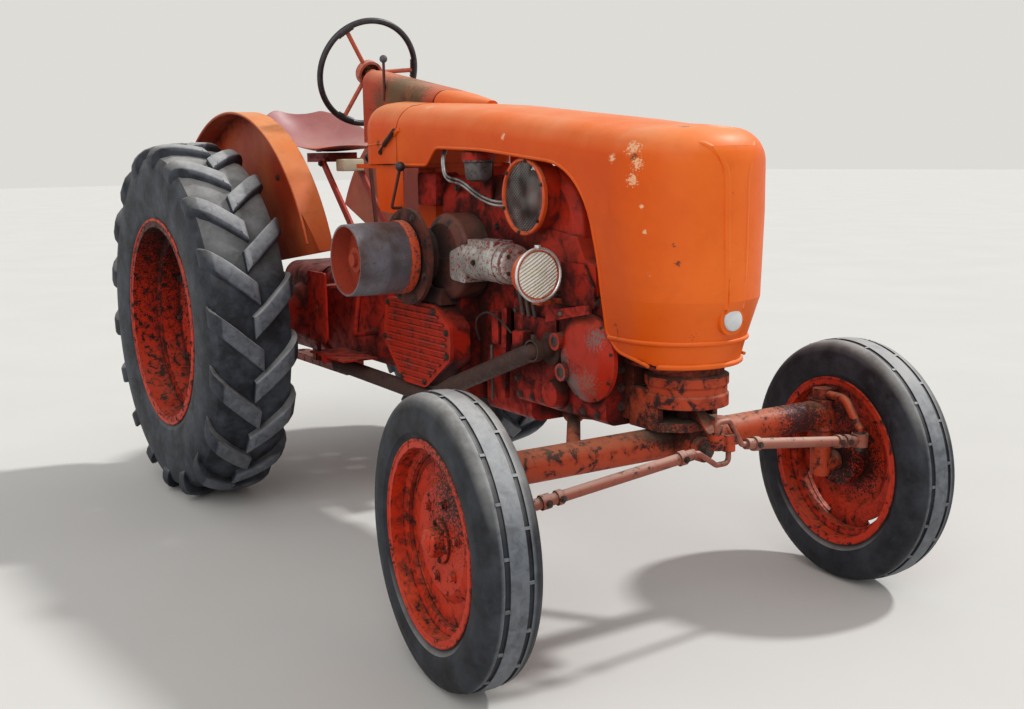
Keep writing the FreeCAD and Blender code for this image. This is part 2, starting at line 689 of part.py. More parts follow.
def hood():
    ridge = hood_form(-5, 0).common(end_plate([(-24, 860), (-30, 1180, 60), (-70, 1262), (70, 1262),
                                               (30, 1180, 60),
                                               (24, 860)], 1250, 1500))
    boss = rod((1340, 0, 845), (1394, 0, 843), 38)
    bands = []
    for low, high, centre, radius in ((780, 790, 1198.0, 173.0), (HOOD_LOW, HOOD_LOW + 10, 1188.0, 165.0)):
        face = Part.Face(nose_section(low, centre, radius, DOME_X - 80))
        bands.append(outward(face.extrude(Vector(0, 0, high - low))))
    outer = fused(hood_form(0, 0), hump(HOOD_SEAM_X, 309, 0), ridge, boss, *bands)
    inner = hood_form(SHEET, 12).fuse(hump(HOOD_SEAM_X - 0.001, 300, SHEET))
    shell = outer.cut(inner).cut(side_opening())
    ears = []
    for y in (-36, 26):
        ear = box((HINGE_X - 7, HINGE_X + 8), (y, y + 10), (HOOD_LOW + 1, HOOD_LOW + 42))
        ear = ear.fuse(rod((HINGE_X, y, HINGE_Z), (HINGE_X, y + 10, HINGE_Z), HINGE_PIN_R + 3))
        ears.append(ear)
    whole = fused(shell, *ears)
    return whole.cut(rod((HINGE_X, -60, HINGE_Z), (HINGE_X, 60, HINGE_Z), HINGE_PIN_R + RUNNING))


save("hood", hood())


def fuel_tank():
    """Tank behind the seam. Its rear end is rounded in. Columns: x, how far the section is drawn in."""
    front = HOOD_SEAM_X - SEAM_GAP
    rows = ((TANK_REAR, 46.0), (TANK_REAR + 12, 20.0), (TANK_REAR + 34, 5.0), (TANK_REAR + 64, 0.0),
            (front, 0.0))
    wires = [section(x, top_at(x) - d, HOOD_HALF_W - d, TANK_LOW) for x, d in rows]
    tank = outward(Part.makeLoft(wires, True, True))
    return tank.cut(hump(TANK_REAR - 30, front + 1, 0))


save("fuel_tank", fuel_tank())


def column_cover():
    front = HOOD_SEAM_X - SEAM_GAP
    cover = hump(-470, front, 0)
    stub = rod((-520, 0, steering_line(-520)), (-440, 0, steering_line(-440)), 20)
    panel = box((-470, TANK_REAR + 10), (-66, 66), (COWL_LOW, 1452))
    panel = panel.cut(fuel_tank())
    return fused(cover, stub, panel)


save("column_cover", column_cover())


# Console under the tank: cast stand on the gearbox, with a sheet panel each side.

def tank_console():
    panel = side_plate([(-110, TANK_LOW - 3), (-96, 1070, 30), (80, 1062, 10), (88, TANK_LOW - 3)], -203,
                       -200)
    stand = box((-58, 56), (-70, 70), (GEARBOX_TOP, TANK_LOW - 14))
    shelf = box((-262, 60), (-200, 200), (TANK_LOW - 14, TANK_LOW - 0.3))
    upright = box((-262, -246), (-60, 60), (TANK_LOW - 0.3, COWL_LOW))
    return fused(stand, both(panel), shelf, upright)


save("tank_console", tank_console())


# Gearbox, rear axle and engine block

def gearbox_housing():
    rear = end_plate([(-150, 520, 40), (150, 520, 40), (150, GEARBOX_TOP - 20, 50),
                      (-150, GEARBOX_TOP - 20, 50)],
                     REAR_HOUSING_FRONT, -60)
    bell = end_plate([(-185, 500, 90), (185, 500, 90), (185, GEARBOX_TOP, 60), (-185, GEARBOX_TOP, 60)],
                     -60, ENGINE_REAR)
    lid = box((-650, -500), (-90, 90), (GEARBOX_TOP - 20, GEARBOX_TOP + 16))
    case = side_plate(COVER_OUTLINE, COVER_Y + 12, -180)
    return fused(rear, bell, lid, case)


save("gearbox_housing", gearbox_housing())


def rear_axle_housing():
    x = REAR_AXLE_X
    z = REAR_TYRE_R
    middle = end_plate([(-165, 490, 70), (165, 490, 70), (165, 840, 60), (-165, 840, 60)], x - 170,
                       REAR_HOUSING_FRONT)
    end_y = REAR_Y + REAR_DISC_Y - 10 - HUB_GAP
    half = turned([(150, 0), (150, 120), (190, 96, 20), (end_y - 60, 66), (end_y - 50, 92), (end_y, 92),
                   (end_y, 0)],
                  (x, 0, z), (0, -1, 0))
    half = half.fuse(rod((x, -end_y, z), (x, -REAR_Y - REAR_DISC_Y - HALF_SHAFT_IN, z), HALF_SHAFT_R))
    bracket = side_plate([(x - 50, z), (x + 50, z), (x + 34, FENDER_LOW + 60), (x - 34, FENDER_LOW + 60)],
                         -FENDER_IN + SEATED, -FENDER_IN + SEATED + 10)
    return fused(middle, both(half), both(bracket))


save("rear_axle_housing", rear_axle_housing())


def engine_block():
    front = ENGINE_FRONT
    case = end_plate([(-150, 540, 30), (150, 540, 30), (150, 880, 20), (-150, 880, 20)], 648, front)
    waist = box((ENGINE_REAR, 648), (-118, 118), (560, 880))
    sump = end_plate([(-118, 478, 30), (118, 478, 30), (118, 560), (-118, 560)], 440, RADIUS_APEX[0] - 16)
    apex = (RADIUS_APEX[0] + 30, 0, RADIUS_APEX[1])
    socket = box((apex[0] - 28, apex[0] + 28), (-28, 28), (apex[2] + 6, 541))
    socket = socket.cut(Part.makeSphere(34.3, Vector(*apex)))
    for _, side in SIDES:
        socket = socket.cut(rod(apex, (FRONT_AXLE_X, side * 320, BEAM_Z), 19.3))
    return fused(case, waist, sump, socket)


save("engine_block", engine_block())


def cylinder_bank():
    bank = end_plate([(-128, 880), (128, 880), (128, 1120, 20), (96, 1186, 20), (-96, 1186, 20),
                      (-128, 1120, 20)], 205, 676)
    line = rod((200, 0, steering_line(200)), (800, 0, steering_line(800)), TUBE_R + 8)
    return bank.cut(line)


save("cylinder_bank", cylinder_bank())


# Blower: a scroll on the right of the engine with its round intake, closed by a mesh in a ring.
BLOWER = (800.0, 1052.0)
SCREEN = (788.0, 1135.0)
BLOWER_R = 165.0
MESH_STEP = 14.0


def blower_casing():
    """Round scroll with the intake's neck, a duct back to the cylinders and a skirt ahead."""
    x, z = BLOWER
    drum = turned([(40, 0), (40, BLOWER_R - 8), (52, BLOWER_R), (132, BLOWER_R, 18), (148, BLOWER_R - 30),
                   (148, 0)],
                  (x, 0, z), (0, -1, 0))
    duct = box((676, x), (-140, -40), (900, z + BLOWER_R - 12))
    neck = tube((SCREEN[0], -140, SCREEN[1]), (SCREEN[0], -194, SCREEN[1]), 98, 92)
    skirt = side_plate([(760, 880), (1046, 880), (1040, 962, 12), (1000, 966, 20),
                        (x + BLOWER_R - 6, z - 20), (x, z)],
                       -150, -40)
    line = rod((600, 0, steering_line(600)), (1150, 0, steering_line(1150)), TUBE_R + 8)
    return fused(drum, duct, neck, skirt).cut(line).cut(box((600, 676), (-300, 300), (800, 1300)))


save("blower_casing", blower_casing())


def intake_screen():
    """A ring with a square mesh."""
    x, z = SCREEN
    ring = turned([(194.3, 92), (194.3, 105), (208, 105), (208, 94), (202, 91), (198, 91)], (x, 0, z),
                  (0, -1, 0))
    mesh = rod((x, -199, z), (x, -201, z), 92)
    holes = []
    count = int(92 / MESH_STEP)
    for i in range(-count, count + 1):
        for j in range(-count, count + 1):
            u = i * MESH_STEP
            v = j * MESH_STEP
            if math.hypot(abs(u) + MESH_STEP / 2, abs(v) + MESH_STEP / 2) < 92:
                w = MESH_STEP / 2 - 1.2
                holes.append(box((x + u - w, x + u + w), (-202, -198), (z + v - w, z + v + w)))
    return ring.fuse(mesh.cut(Part.makeCompound(holes)))


save("intake_screen", intake_screen())

def timing_cover():
    """Domed cover low on the engine's right side, with two plugged bosses."""
    cover = turned([(150, 0), (150, 118), (164, 118, 6), (186, 86, 30), (192, 0)], (1018, 0, 716),
                   (0, -1, 0))
    bosses = [tube((x, -170, z), (x, -200, z), 24, 15) for x, z in ((921, 752), (947, 672))]
    return fused(cover, *bosses)


save("timing_cover", timing_cover())


# Belt pulley drive

def pulley_housing():
    flange = turned([(-FLANGE_Y - 14, 0), (-FLANGE_Y - 14, FLANGE_R), (-FLANGE_Y, FLANGE_R),
                     (-FLANGE_Y, 0)],
                    (PULLEY_X, 0, PULLEY_Z), (0, -1, 0))
    neck = turned([(186, 0), (186, 84), (236, 84), (-FLANGE_Y - 14, 72), (-FLANGE_Y - 14, 0)],
                  (PULLEY_X + 8, 0, PULLEY_Z), (0, -1, 0))
    case = turned([(128, 0), (128, CASE_R), (206, CASE_R, 16), (226, CASE_R - 30, 10), (232, 0)],
                  (PULLEY_X + 92, 0, PULLEY_Z), (0, -1, 0))
    foot = side_plate([(PULLEY_X - 50, 800), (PULLEY_X + 110, 800), (PULLEY_X + 110, 850),
                       (PULLEY_X - 50, 850)],
                      -240, -185)
    shaft_room = rod((PULLEY_X, -228, PULLEY_Z), (PULLEY_X, -400, PULLEY_Z), 20 + RUNNING)
    return fused(flange, neck, case, foot).cut(shaft_room).cut(gearbox_housing())


save("pulley_housing", pulley_housing())


def belt_pulley():
    out, inn = PULLEY_FACE
    face = turned([(-inn, PULLEY_R - 3), (-(inn + out) / 2, PULLEY_R), (-out, PULLEY_R - 3),
                   (-out, PULLEY_R - 10),
                   (-inn, PULLEY_R - 10)], (PULLEY_X, 0, PULLEY_Z), (0, -1, 0))
    web = turned([(430, 30), (430, PULLEY_R - 8), (442, PULLEY_R - 8), (442, 30)], (PULLEY_X, 0, PULLEY_Z),
                 (0, -1, 0))
    hub = rod((PULLEY_X, -380, PULLEY_Z), (PULLEY_X, -468, PULLEY_Z), 38)
    shaft = rod((PULLEY_X, -230, PULLEY_Z), (PULLEY_X, -480, PULLEY_Z), 20)
    whole = fused(face, web, hub, shaft)
    for i in range(4):
        a = math.radians(90 * i + 20)
        x = PULLEY_X + 70 * math.cos(a)
        z = PULLEY_Z + 70 * math.sin(a)
        whole = whole.cut(rod((x, -400, z), (x, -480, z), 20))
    return whole


save("belt_pulley", belt_pulley())


def ribbed_cover():
    """A bolted side cover with level cooling ribs."""
    plate = side_plate(COVER_OUTLINE, COVER_Y, COVER_Y + 12)
    inside = [(x + (COVER_MIDDLE[0] - x) * 0.1, z + (COVER_MIDDLE[1] - z) * 0.1, r)
              for x, z, r in COVER_OUTLINE]
    field = side_plate(inside, COVER_Y - RIB_H, COVER_Y + 1)
    bars = []
    z = COVER_OUTLINE[2][1] + RIB_STEP
    while z < COVER_OUTLINE[0][1] - RIB_STEP / 2:
        bars.append(box((-100, 600), (COVER_Y - RIB_H, COVER_Y + 1),
                        (z - RIB_W / 2, z + RIB_W / 2)).common(field))
        z += RIB_STEP
    return plate.fuse(bars).removeSplitter()


save("ribbed_cover", ribbed_cover())

def starter_motor():
    """Body with a flat top cover, a heavier drive end and a foot on the block."""
    y, z = STARTER_YZ
    body = rod((545, y, z), (745, y, z), STARTER_R)
    cover = box((552, 690), (y - 34, y + 34), (z, z + STARTER_R + 6))
    drive = side_plate([(455, z - 60, 20), (545, z - 66, 10), (545, z + 50, 10), (455, z + 20, 20)],
                       y - 40, y + 46)
    foot = box((560, 640), (y + 30, -118 - SEATED), (z - 30, z + 20))
    return fused(body, cover, drive, foot).cut(cylinder_bank()).cut(pulley_housing())


save("starter_motor", starter_motor())

FILTER = (494.0, -168.0)


def fuel_filter_lines():
    """Sediment bowl under its head, on a bracket that also holds the fuel pipe."""
    x, y = FILTER
    bowl = turned([(1172, 0), (1172, 22), (1188, 39, 8), (1226, 41), (1234, 47), (1258, 47, 4), (1264, 18),
                   (1264, 0)], (x, y, 0), (0, 0, 1))
    bracket = box((x - 14, x + 14), (y - 20, -128), (1100, 1180))
    line = bent_rod([(322, -190, 1240), (322, -190, 1178, 30), (434, -190, 1166, 60), (508, -190, 1132, 60),
                     (574, -190, 1110, 60), (680, -190, 1104)], 4)
    return fused(bowl, bracket, line)


save("fuel_filter_lines", fuel_filter_lines())

save("exhaust_pipe", fused(bent_rod([(848, -150, 720), (848, -212, 720, 30), (430, -232, 562, 120),
                                     (300, -232, 502, 120), (-462, -206, 502)], 26),
                           rod((848, -151, 720), (848, -163, 720), 46)))


# Headlamps: a pair of bowls on brackets beside the engine, and their glasses.
LAMP = (928.0, 252.0, 935.0)
LAMP_R = 68.0


def headlamp_bowl():
    """The right bowl on its angle bracket."""
    x, y, z = LAMP
    bowl = turned([(x - 92, 0), (x - 92, 26, 16), (x - 40, 60, 30), (x, LAMP_R, 4), (x, LAMP_R - 6),
                   (x - 12, LAMP_R - 8), (x - 12, 0)], (0, -y, z), (1, 0, 0))
    along = (x - 62, x - 28)
    upright = box(along, (-y + 20, -y + 34), (850, z - 5))
    foot = box(along, (-y + 20, -150), (850, 862))
    return fused(bowl, upright, foot)


def headlamp_glass():
    x, y, z = LAMP
    return turned([(x - 12 + SEATED, 0), (x - 12 + SEATED, LAMP_R - 8.5), (x - 2, LAMP_R - 7), (x + 6, 0)],
                  (0, -y, z), (1, 0, 0))


save("headlamp_bowls", Part.makeCompound([headlamp_bowl(), mirrored(headlamp_bowl())]))
save("headlamp_glasses", Part.makeCompound([headlamp_glass(), mirrored(headlamp_glass())]))


# Fenders: an upright plate with a flange rolled outward over the tyre.

def fender():
    x = REAR_AXLE_X
    z = REAR_TYRE_R
    first, last = 22.0, 150.0
    span = last - first
    flange = Part.Face(Part.Wire([
        Part.makeLine(Vector(FENDER_R - FENDER_SHEET, -FENDER_OUT, 0), Vector(FENDER_R, -FENDER_OUT, 0)),
        Part.makeLine(Vector(FENDER_R, -FENDER_OUT, 0), Vector(FENDER_R, -FENDER_IN, 0)),
        Part.makeLine(Vector(FENDER_R, -FENDER_IN, 0), Vector(FENDER_R - FENDER_SHEET, -FENDER_IN, 0)),
        Part.makeLine(Vector(FENDER_R - FENDER_SHEET, -FENDER_IN, 0),
                      Vector(FENDER_R - FENDER_SHEET, -FENDER_OUT, 0)),
    ]))
    flange = flange.revolve(Vector(0, 0, 0), Vector(0, 1, 0), -span)
    flange.rotate(Vector(0, 0, 0), Vector(0, 1, 0), -first)
    flange.translate(Vector(x, 0, z))
    disc = rod((x, -FENDER_IN, z), (x, -FENDER_IN - FENDER_SHEET, z), FENDER_R - 1)
    front_x = x + FENDER_R * math.cos(math.radians(first))
    front_z = z + FENDER_R * math.sin(math.radians(first))
    rear_x = x + FENDER_R * math.cos(math.radians(last))
    rear_z = z + FENDER_R * math.sin(math.radians(last))
    keep = side_plate([(front_x, front_z), (front_x + 200, front_z + 900), (rear_x - 200, front_z + 900),
                       (rear_x, rear_z), (x - 250, FENDER_LOW), (x + 250, FENDER_LOW)], -400, -300)
    tip = top_plate([(front_x + 60, -FENDER_OUT - 5), (front_x + 60, -FENDER_IN - 20),
                     (front_x - 80, -FENDER_OUT - 5)],
                    front_z - 60, front_z + 120)
    return fused(flange, disc.common(keep)).cut(tip)


save("fender_right", fender())
save("fender_left", mirrored(fender()))


# Seat: a pressed pan on a channel with two sloping flat bars.

def seat_pan():
    """Pressed pan. Columns: x, half width, height in the middle, height at the edges."""
    rows = ((-722, 150, 1292, 1276), (-770, 188, 1280, 1284), (-850, 208, 1272, 1300),
            (-950, 213, 1268, 1330),
            (-1060, 208, 1282, 1374), (-1150, 182, 1326, 1412), (-1205, 130, 1392, 1436),
            (-1222, 96, 1428, 1442))
    wires = []
    for x, half, middle, edge in rows:
        low = [Vector(x, -half, edge), Vector(x, 0, middle), Vector(x, half, edge)]
        high = [Vector(v.x, v.y, v.z + SEAT_SHEET) for v in low]
        wires.append(Part.Wire([
            Part.Arc(low[0], low[1], low[2]).toShape(), Part.makeLine(low[2], high[2]),
            Part.Arc(high[2], high[1], high[0]).toShape(), Part.makeLine(high[0], low[0]),
        ]))
    return outward(Part.makeLoft(wires, True, True))


save("seat_pan", seat_pan())


def seat_frame():
    channel = box((-1010, -800), (-60, 60), (1232, 1267.7))
    bar = side_plate([(-860, 1240), (-818, 1240), (-420, REAR_TOP), (-462, REAR_TOP)], -76, -66)
    foot = box((-480, -400), (-90, 90), (REAR_TOP, REAR_TOP + 12))
    rung = box((-864, -806), (-76, 76), (1236, 1246))
    return fused(channel, both(bar), rung, foot)


save("seat_frame", seat_frame())


def foot_rests():
    plate = box((-430, -150), (-330, -200), (560, 566))
    arm = box((-330, -290), (-330, -150), (540, 560))
    hanger = side_plate([(-480, 850, 10), (-480, 600, 20), (-330, 600, 20), (-330, 850, 10)], -306, -298)
    hanger = hanger.cut(rod((-401, -400, 735), (-401, -200, 735), 15))
    tie = box((-440, -380), (-298, -150), (790, 800))
    pedal = fused(rod((-250, -150, 640), (-250, -240, 640), 12),
                  rod((-250, -232, 640), (-205, -232, 800), 9),
                  box((-240, -180), (-262, -202), (800, 810)))
    side = fused(plate, arm)
    return Part.makeCompound([fused(side, box((-420, -400), (-306, -298), (566, 601)), hanger, tie),
                              mirrored(fused(side, box((-420, -400), (-306, -298), (566, 601)), hanger,
                                             tie)),
                              pedal, mirrored(pedal)])


save("foot_rests", foot_rests())


def hand_levers():
    gear = fused(bent_rod([(-520, 0, GEARBOX_TOP + 17), (-530, 0, 1000, 60), (-566, 0, 1236)], 8),
                 Part.makeSphere(19, Vector(-566, 0, 1246)))
    hand = fused(bent_rod([(70, -203, 1085), (70, -240, 1085, 10), (132, -240, 1205)], 5),
                 Part.makeSphere(15, Vector(138, -240, 1217)))
    throttle = fused(rod((-290, -70, 1440), (-262, -84, 1570), 5),
                     Part.makeSphere(13, Vector(-260, -85, 1580)))
    return Part.makeCompound([gear, hand, throttle.cut(column_cover())])


save("hand_levers", hand_levers())


# Steering wheel on its short shaft, tilted back to the driver.

def wheel_placed(shape):
    """Turn a piece made about +X, on the wheel's centre, to the wheel's axis."""
    a = math.radians(WHEEL_TILT)
    shape.Placement = FreeCAD.Placement(WHEEL_CENTRE, FreeCAD.Rotation(Vector(1, 0, 0),
                                                                       Vector(math.cos(a), 0,
                                                                              -math.sin(a))))
    return shape


RING = Part.makeTorus(WHEEL_R - WHEEL_RIM_R, WHEEL_RIM_R, Vector(0, 0, 0), Vector(1, 0, 0))
save("steering_wheel_rim", wheel_placed(RING))


def spokes():
    """Cup hub, open to the front, with its shaft and three spokes."""
    whole = turned([(-24, 0), (-24, 26), (-12, 47, 12), (24, 47), (24, 38), (-6, 36), (-10, 14), (34, 14),
                    (34, 0)],
                   (0, 0, 0), (1, 0, 0))
    reach = WHEEL_R - 2 * WHEEL_RIM_R - SEATED
    for angle in (5, 125, 245):
        a = math.radians(angle)
        spoke = rod((0, 40 * math.cos(a), 40 * math.sin(a)), (0, reach * math.cos(a), reach * math.sin(a)),
                    8)
        whole = whole.fuse(spoke)
    return whole.removeSplitter()


save("steering_wheel_spokes", wheel_placed(spokes()))


# Rear: power take-off shaft and drawbar

PTO_X = REAR_AXLE_X - 170.0
save("pto_shaft", rod((PTO_X - 110, 0, PTO_Z), (PTO_X, 0, PTO_Z), PTO_R))


def drawbar():
    bar = top_plate([(-1330, -38, 30), (-760, -38), (-760, 38), (-1330, 38, 30)], DRAWBAR_Z, DRAWBAR_Z + 30)
    bar = bar.cut(rod((-1295, 0, DRAWBAR_Z - 10), (-1295, 0, DRAWBAR_Z + 40), DRAWBAR_HOLE_R))
    front = box((-800, -760), (-38, 38), (DRAWBAR_Z + 30, 490))
    hanger = box((-1040, -1010), (-60, 60), (DRAWBAR_Z + 30, 490))
    return fused(bar, front, hanger)


save("drawbar", drawbar())
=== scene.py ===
"""Looks of an old orange farm tractor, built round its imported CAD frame."""
import math
import bmesh
import bpy
from mathutils import Matrix, Vector


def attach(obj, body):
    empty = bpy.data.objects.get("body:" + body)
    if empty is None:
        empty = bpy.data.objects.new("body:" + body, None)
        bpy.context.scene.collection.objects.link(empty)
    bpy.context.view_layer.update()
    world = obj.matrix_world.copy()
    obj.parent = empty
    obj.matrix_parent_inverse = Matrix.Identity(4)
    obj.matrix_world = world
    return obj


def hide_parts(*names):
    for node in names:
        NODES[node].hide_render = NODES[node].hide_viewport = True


bl_info = {
    "name": "Old farm tractor",
    "version": (1, 0, 0),
    "blender": (4, 5, 0),
    "location": "3D View > Sidebar > Tractor",
    "description": "Tyres, fittings and worn finishes of an old farm tractor",
    "category": "Object",
}

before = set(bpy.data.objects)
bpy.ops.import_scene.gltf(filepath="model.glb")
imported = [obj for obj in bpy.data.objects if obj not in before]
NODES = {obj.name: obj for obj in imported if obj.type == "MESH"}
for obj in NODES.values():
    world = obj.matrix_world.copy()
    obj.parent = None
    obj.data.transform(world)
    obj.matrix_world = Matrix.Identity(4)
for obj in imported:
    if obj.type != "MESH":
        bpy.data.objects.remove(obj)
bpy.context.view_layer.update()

# Places and sizes of the frame that the pieces here are set against, in mm
SIDES = (("right", -1), ("left", 1))
RIGHT = (0, -1, 0)
REAR_AXLE_X = -872.0
REAR_Y = 592.0
REAR_TYRE_R = 656.0
REAR_TYRE_W = 300.0
FRONT_AXLE_X = 1173.0
FRONT_Y = 668.0
FRONT_TYRE_R = 355.0
KINGPIN_Y = 560.0
PARKED_STEER = -5.56
LEVER_X = 1228.0
STEER_ARM = 155.0
BALL_Z = 460.0
SOCKET_Y = 18.0
SCREEN = (788.0, -201.0, 1135.0)
TIMING = (1018.0, 716.0)
PULLEY = (268.0, 945.0)
STARTER = (-210.0, 948.0)
FILTER = (494.0, -168.0, 1172.0)
LAMP = (928.0, 252.0, 935.0)
STEERING_WHEEL = (-554.5, 0.0, 1554.0)
STEERING_WHEEL_TILT = 19.2
GRIP_R = 187.0
FENDER_EDGE_R = 762.0
FENDER_EDGE_Y = 429.0


def linear(colour):
    """The linear colour, with alpha, of an sRGB hex value; a colour of the panel is linear already."""
    if isinstance(colour, str):
        parts = [int(colour[i:i + 2], 16) / 255 for i in (1, 3, 5)]
        colour = [c / 12.92 if c <= 0.04045 else ((c + 0.055) / 1.055) ** 2.4 for c in parts]
    return (*colour, 1.0)


# Finishes

# What the finishes ask for: the node's type, the sockets that its inputs go to in order, the settings that
# are always the same, and the output used
NODE_KINDS = {
    "Place": ("TexCoord", (), {}, "Object"),
    "Normal": ("NewGeometry", (), {}, "Normal"),
    "Rounded": ("Bevel", ("Radius",), {"samples": 4}, 0),
    "Open": ("AmbientOcclusion", ("Distance",), {"samples": 4}, "AO"),
    "Wear": ("Attribute", (), {"attribute_name": "wear"}, "Fac"),
    "Noise": ("TexNoise", ("Vector", "Scale", "Detail", "Roughness", "Distortion"),
              {"Detail": 5.0, "Roughness": 0.6}, 0),
    "Waves": ("TexWave", ("Vector", "Scale"), {"Distortion": 0.0, "bands_direction": "Z"}, "Fac"),
    "Slant": ("Mapping", ("Vector", "Rotation"), {}, 0),
    "Step": ("MapRange", ("Value", "From Min", "From Max", "To Min", "To Max"), {}, 0),
    "Plus": ("Math", (0, 1), {"operation": "ADD"}, 0),
    "Minus": ("Math", (0, 1), {"operation": "SUBTRACT"}, 0),
    "Times": ("Math", (0, 1), {"operation": "MULTIPLY"}, 0),
    "Greater": ("Math", (0, 1), {"operation": "MAXIMUM"}, 0),
    "Apart": ("VectorMath", (0, 1), {"operation": "DISTANCE"}, 1),
    "Along": ("VectorMath", (0, 1), {"operation": "DOT_PRODUCT"}, 1),
    "Stretch": ("VectorMath", (0, 1), {"operation": "MULTIPLY"}, 0),
    "Over": ("Mix", (0, 6, 7), {"data_type": "RGBA"}, 2),
    "Relief": ("Bump", ("Height", "Strength", "Distance"), {"Strength": 0.45, "Distance": 0.0015}, 0),
    "Glow": ("Background", ("Color", "Strength"), {}, 0),
    "Ray": ("LightPath", (), {}, 0),
    "Either": ("MixShader", (0, 1, 2), {}, 0),
}


def settle(tree, node, settings):
    """Links a node's input to each setting that is an output, and sets its input or property to any other."""
    for key, value in settings.items():
        if isinstance(value, bpy.types.NodeSocket):
            tree.links.new(value, node.inputs[key])
        elif isinstance(key, int) or key in node.inputs:
            node.inputs[key].default_value = value
        else:
            setattr(node, key, value)


def add(tree, kind, *inputs):
    """Adds a node with its settings and links, and gives its output."""
    node_type, sockets, always, output = NODE_KINDS[kind]
    made = tree.nodes.new("ShaderNode" + node_type)
    settle(tree, made, {**always, **dict(zip(sockets, inputs))})
    return made.outputs[output]


def new_finish(name, specular=0.5):
    """An empty node material with its principled shader and its object coordinates."""
    material = bpy.data.materials.new(name)
    material.use_nodes = True
    tree = material.node_tree
    shader = tree.nodes["Principled BSDF"]
    shader.inputs["Specular IOR Level"].default_value = specular
    return material, tree, shader, add(tree, "Place")


def lumps(size_mm):
    """The noise scale whose lumps are about size_mm across."""
    return 1000.0 / size_mm


def edge_mask(tree, width_mm):
    """1 where a surface bends sharply within width_mm, 0 on flats."""
    match = add(tree, "Along", add(tree, "Rounded", width_mm / 1000), add(tree, "Normal"))
    return add(tree, "Step", match, 0.99, 0.82)


def hollow_mask(tree, reach_mm):
    """1 deep in corners, 0 in the open."""
    return add(tree, "Step", add(tree, "Open", reach_mm / 1000), 0.95, 0.35)


def sky_mask(tree):
    """1 on faces that look up, 0 on faces that look sideways or down."""
    return add(tree, "Step", add(tree, "Along", add(tree, "Normal"), (0.0, 0.0, 1.0)), 0.25, 1.0)


def enamel(name, colours, chips, dirt, fade, rough=0.45, patch_mm=36.0, relief=0.3, specular=0.35, dust=0.22,
           paint_patches=(), painted_glare=None):
    """Brushed or sprayed machine enamel: sun-faded above, chipped to metal at edges, dark in corners with
    grime and painted shade.

    The colours are those of the paint, of the paint bleached, of bare iron and of grime. chips, dirt and fade
    run from 0 for none to 1 for nearly all of the surface. Each patch is a place in mm, its radius and its
    colour: a scrape, a stain, painted shadow on the front wheels or a darker upper part on the rear wheels.
    Between the two x of the last argument the colour lightens more and more towards the front: painted sun
    glare."""
    material, tree, shader, place = new_finish(name, specular)
    paint, faded, bare, grime = (linear(colour) for colour in colours)
    broad = add(tree, "Noise", place, lumps(260), 5.0, 0.55)
    patch = add(tree, "Noise", place, lumps(patch_mm), 10.0, 0.66, 0.5)
    speck = add(tree, "Noise", place, lumps(6), 5.0, 0.7)
    peel = add(tree, "Noise", place, lumps(3), 2.0)
    edge, hollow, sky = edge_mask(tree, 5.0), hollow_mask(tree, 90.0), sky_mask(tree)
    tone = add(tree, "Plus", add(tree, "Times", sky, 0.75), add(tree, "Step", broad, 0.42, 0.66, 0.0, 0.2))
    # Painted highlight: the colour lightens more and more towards the front, standing in for sun glare on the
    # nose
    if painted_glare:
        ahead = add(tree, "Along", place, (1.0, 0.0, 0.0))
        ahead = add(tree, "Step", ahead, painted_glare[0] / 1000, painted_glare[1] / 1000, 0.0, 0.45)
        tone = add(tree, "Plus", tone, ahead)
    colour = add(tree, "Over", add(tree, "Times", tone, fade), paint, faded)
    stain = add(tree, "Step", patch, 0.48, 0.78, 0.0, 0.1 + 0.35 * dirt)
    colour = add(tree, "Over", stain, colour, grime)
    # Each patch recolours the paint: a scrape, a stain, painted shadow on the right front wheel or a darker
    # upper part on the rear wheels
    for spot, radius, tint in paint_patches:
        far = add(tree, "Apart", place, tuple(v / 1000 for v in spot))
        inside_patch = add(tree, "Plus", add(tree, "Times", far, -350 / radius), speck)
        colour = add(tree, "Over", add(tree, "Step", inside_patch, 0.28, 0.36), colour, linear(tint))
    wear = add(tree, "Plus", add(tree, "Times", edge, 0.16), patch)
    wear = add(tree, "Plus", wear, add(tree, "Step", speck, 0.3, 0.8, -0.05, 0.07))
    limit = 0.80 - 0.34 * chips
    chip = add(tree, "Step", wear, limit, limit + 0.02)
    flakes = add(tree, "Over", add(tree, "Step", speck, 0.35, 0.7), bare, grime)
    colour = add(tree, "Over", chip, colour, flakes)
    # Corners darken to the grime colour: real grime, and painted shade where the corners would lie in shadow
    grime_and_corner_shade = add(tree, "Plus", add(tree, "Times", hollow, 0.42), patch)
    limit = 1.02 - 0.62 * dirt
    muck_and_shade = add(tree, "Step", grime_and_corner_shade, limit - 0.12, limit + 0.12, 0.0, 0.92)
    colour = add(tree, "Over", muck_and_shade, colour, grime)
    laid = add(tree, "Times", sky, add(tree, "Step", broad, 0.35, 0.7, 0.0, dust))
    colour = add(tree, "Over", laid, colour, linear("#C9B296"))
    dull = add(tree, "Plus", add(tree, "Greater", chip, muck_and_shade), add(tree, "Times", patch, 0.4))
    height = add(tree, "Minus", add(tree, "Times", peel, 0.06), add(tree, "Times", chip, 0.5))
    height = add(tree, "Plus", height, add(tree, "Times", muck_and_shade, 0.5))
    height = add(tree, "Plus", height, add(tree, "Times", speck, relief))
    settle(tree, shader, {"Base Color": colour, "Normal": add(tree, "Relief", height, 0.45, 0.0012),
                          "Roughness": add(tree, "Step", dull, 0.0, 1.2, rough - 0.06, 0.82)})
    return material


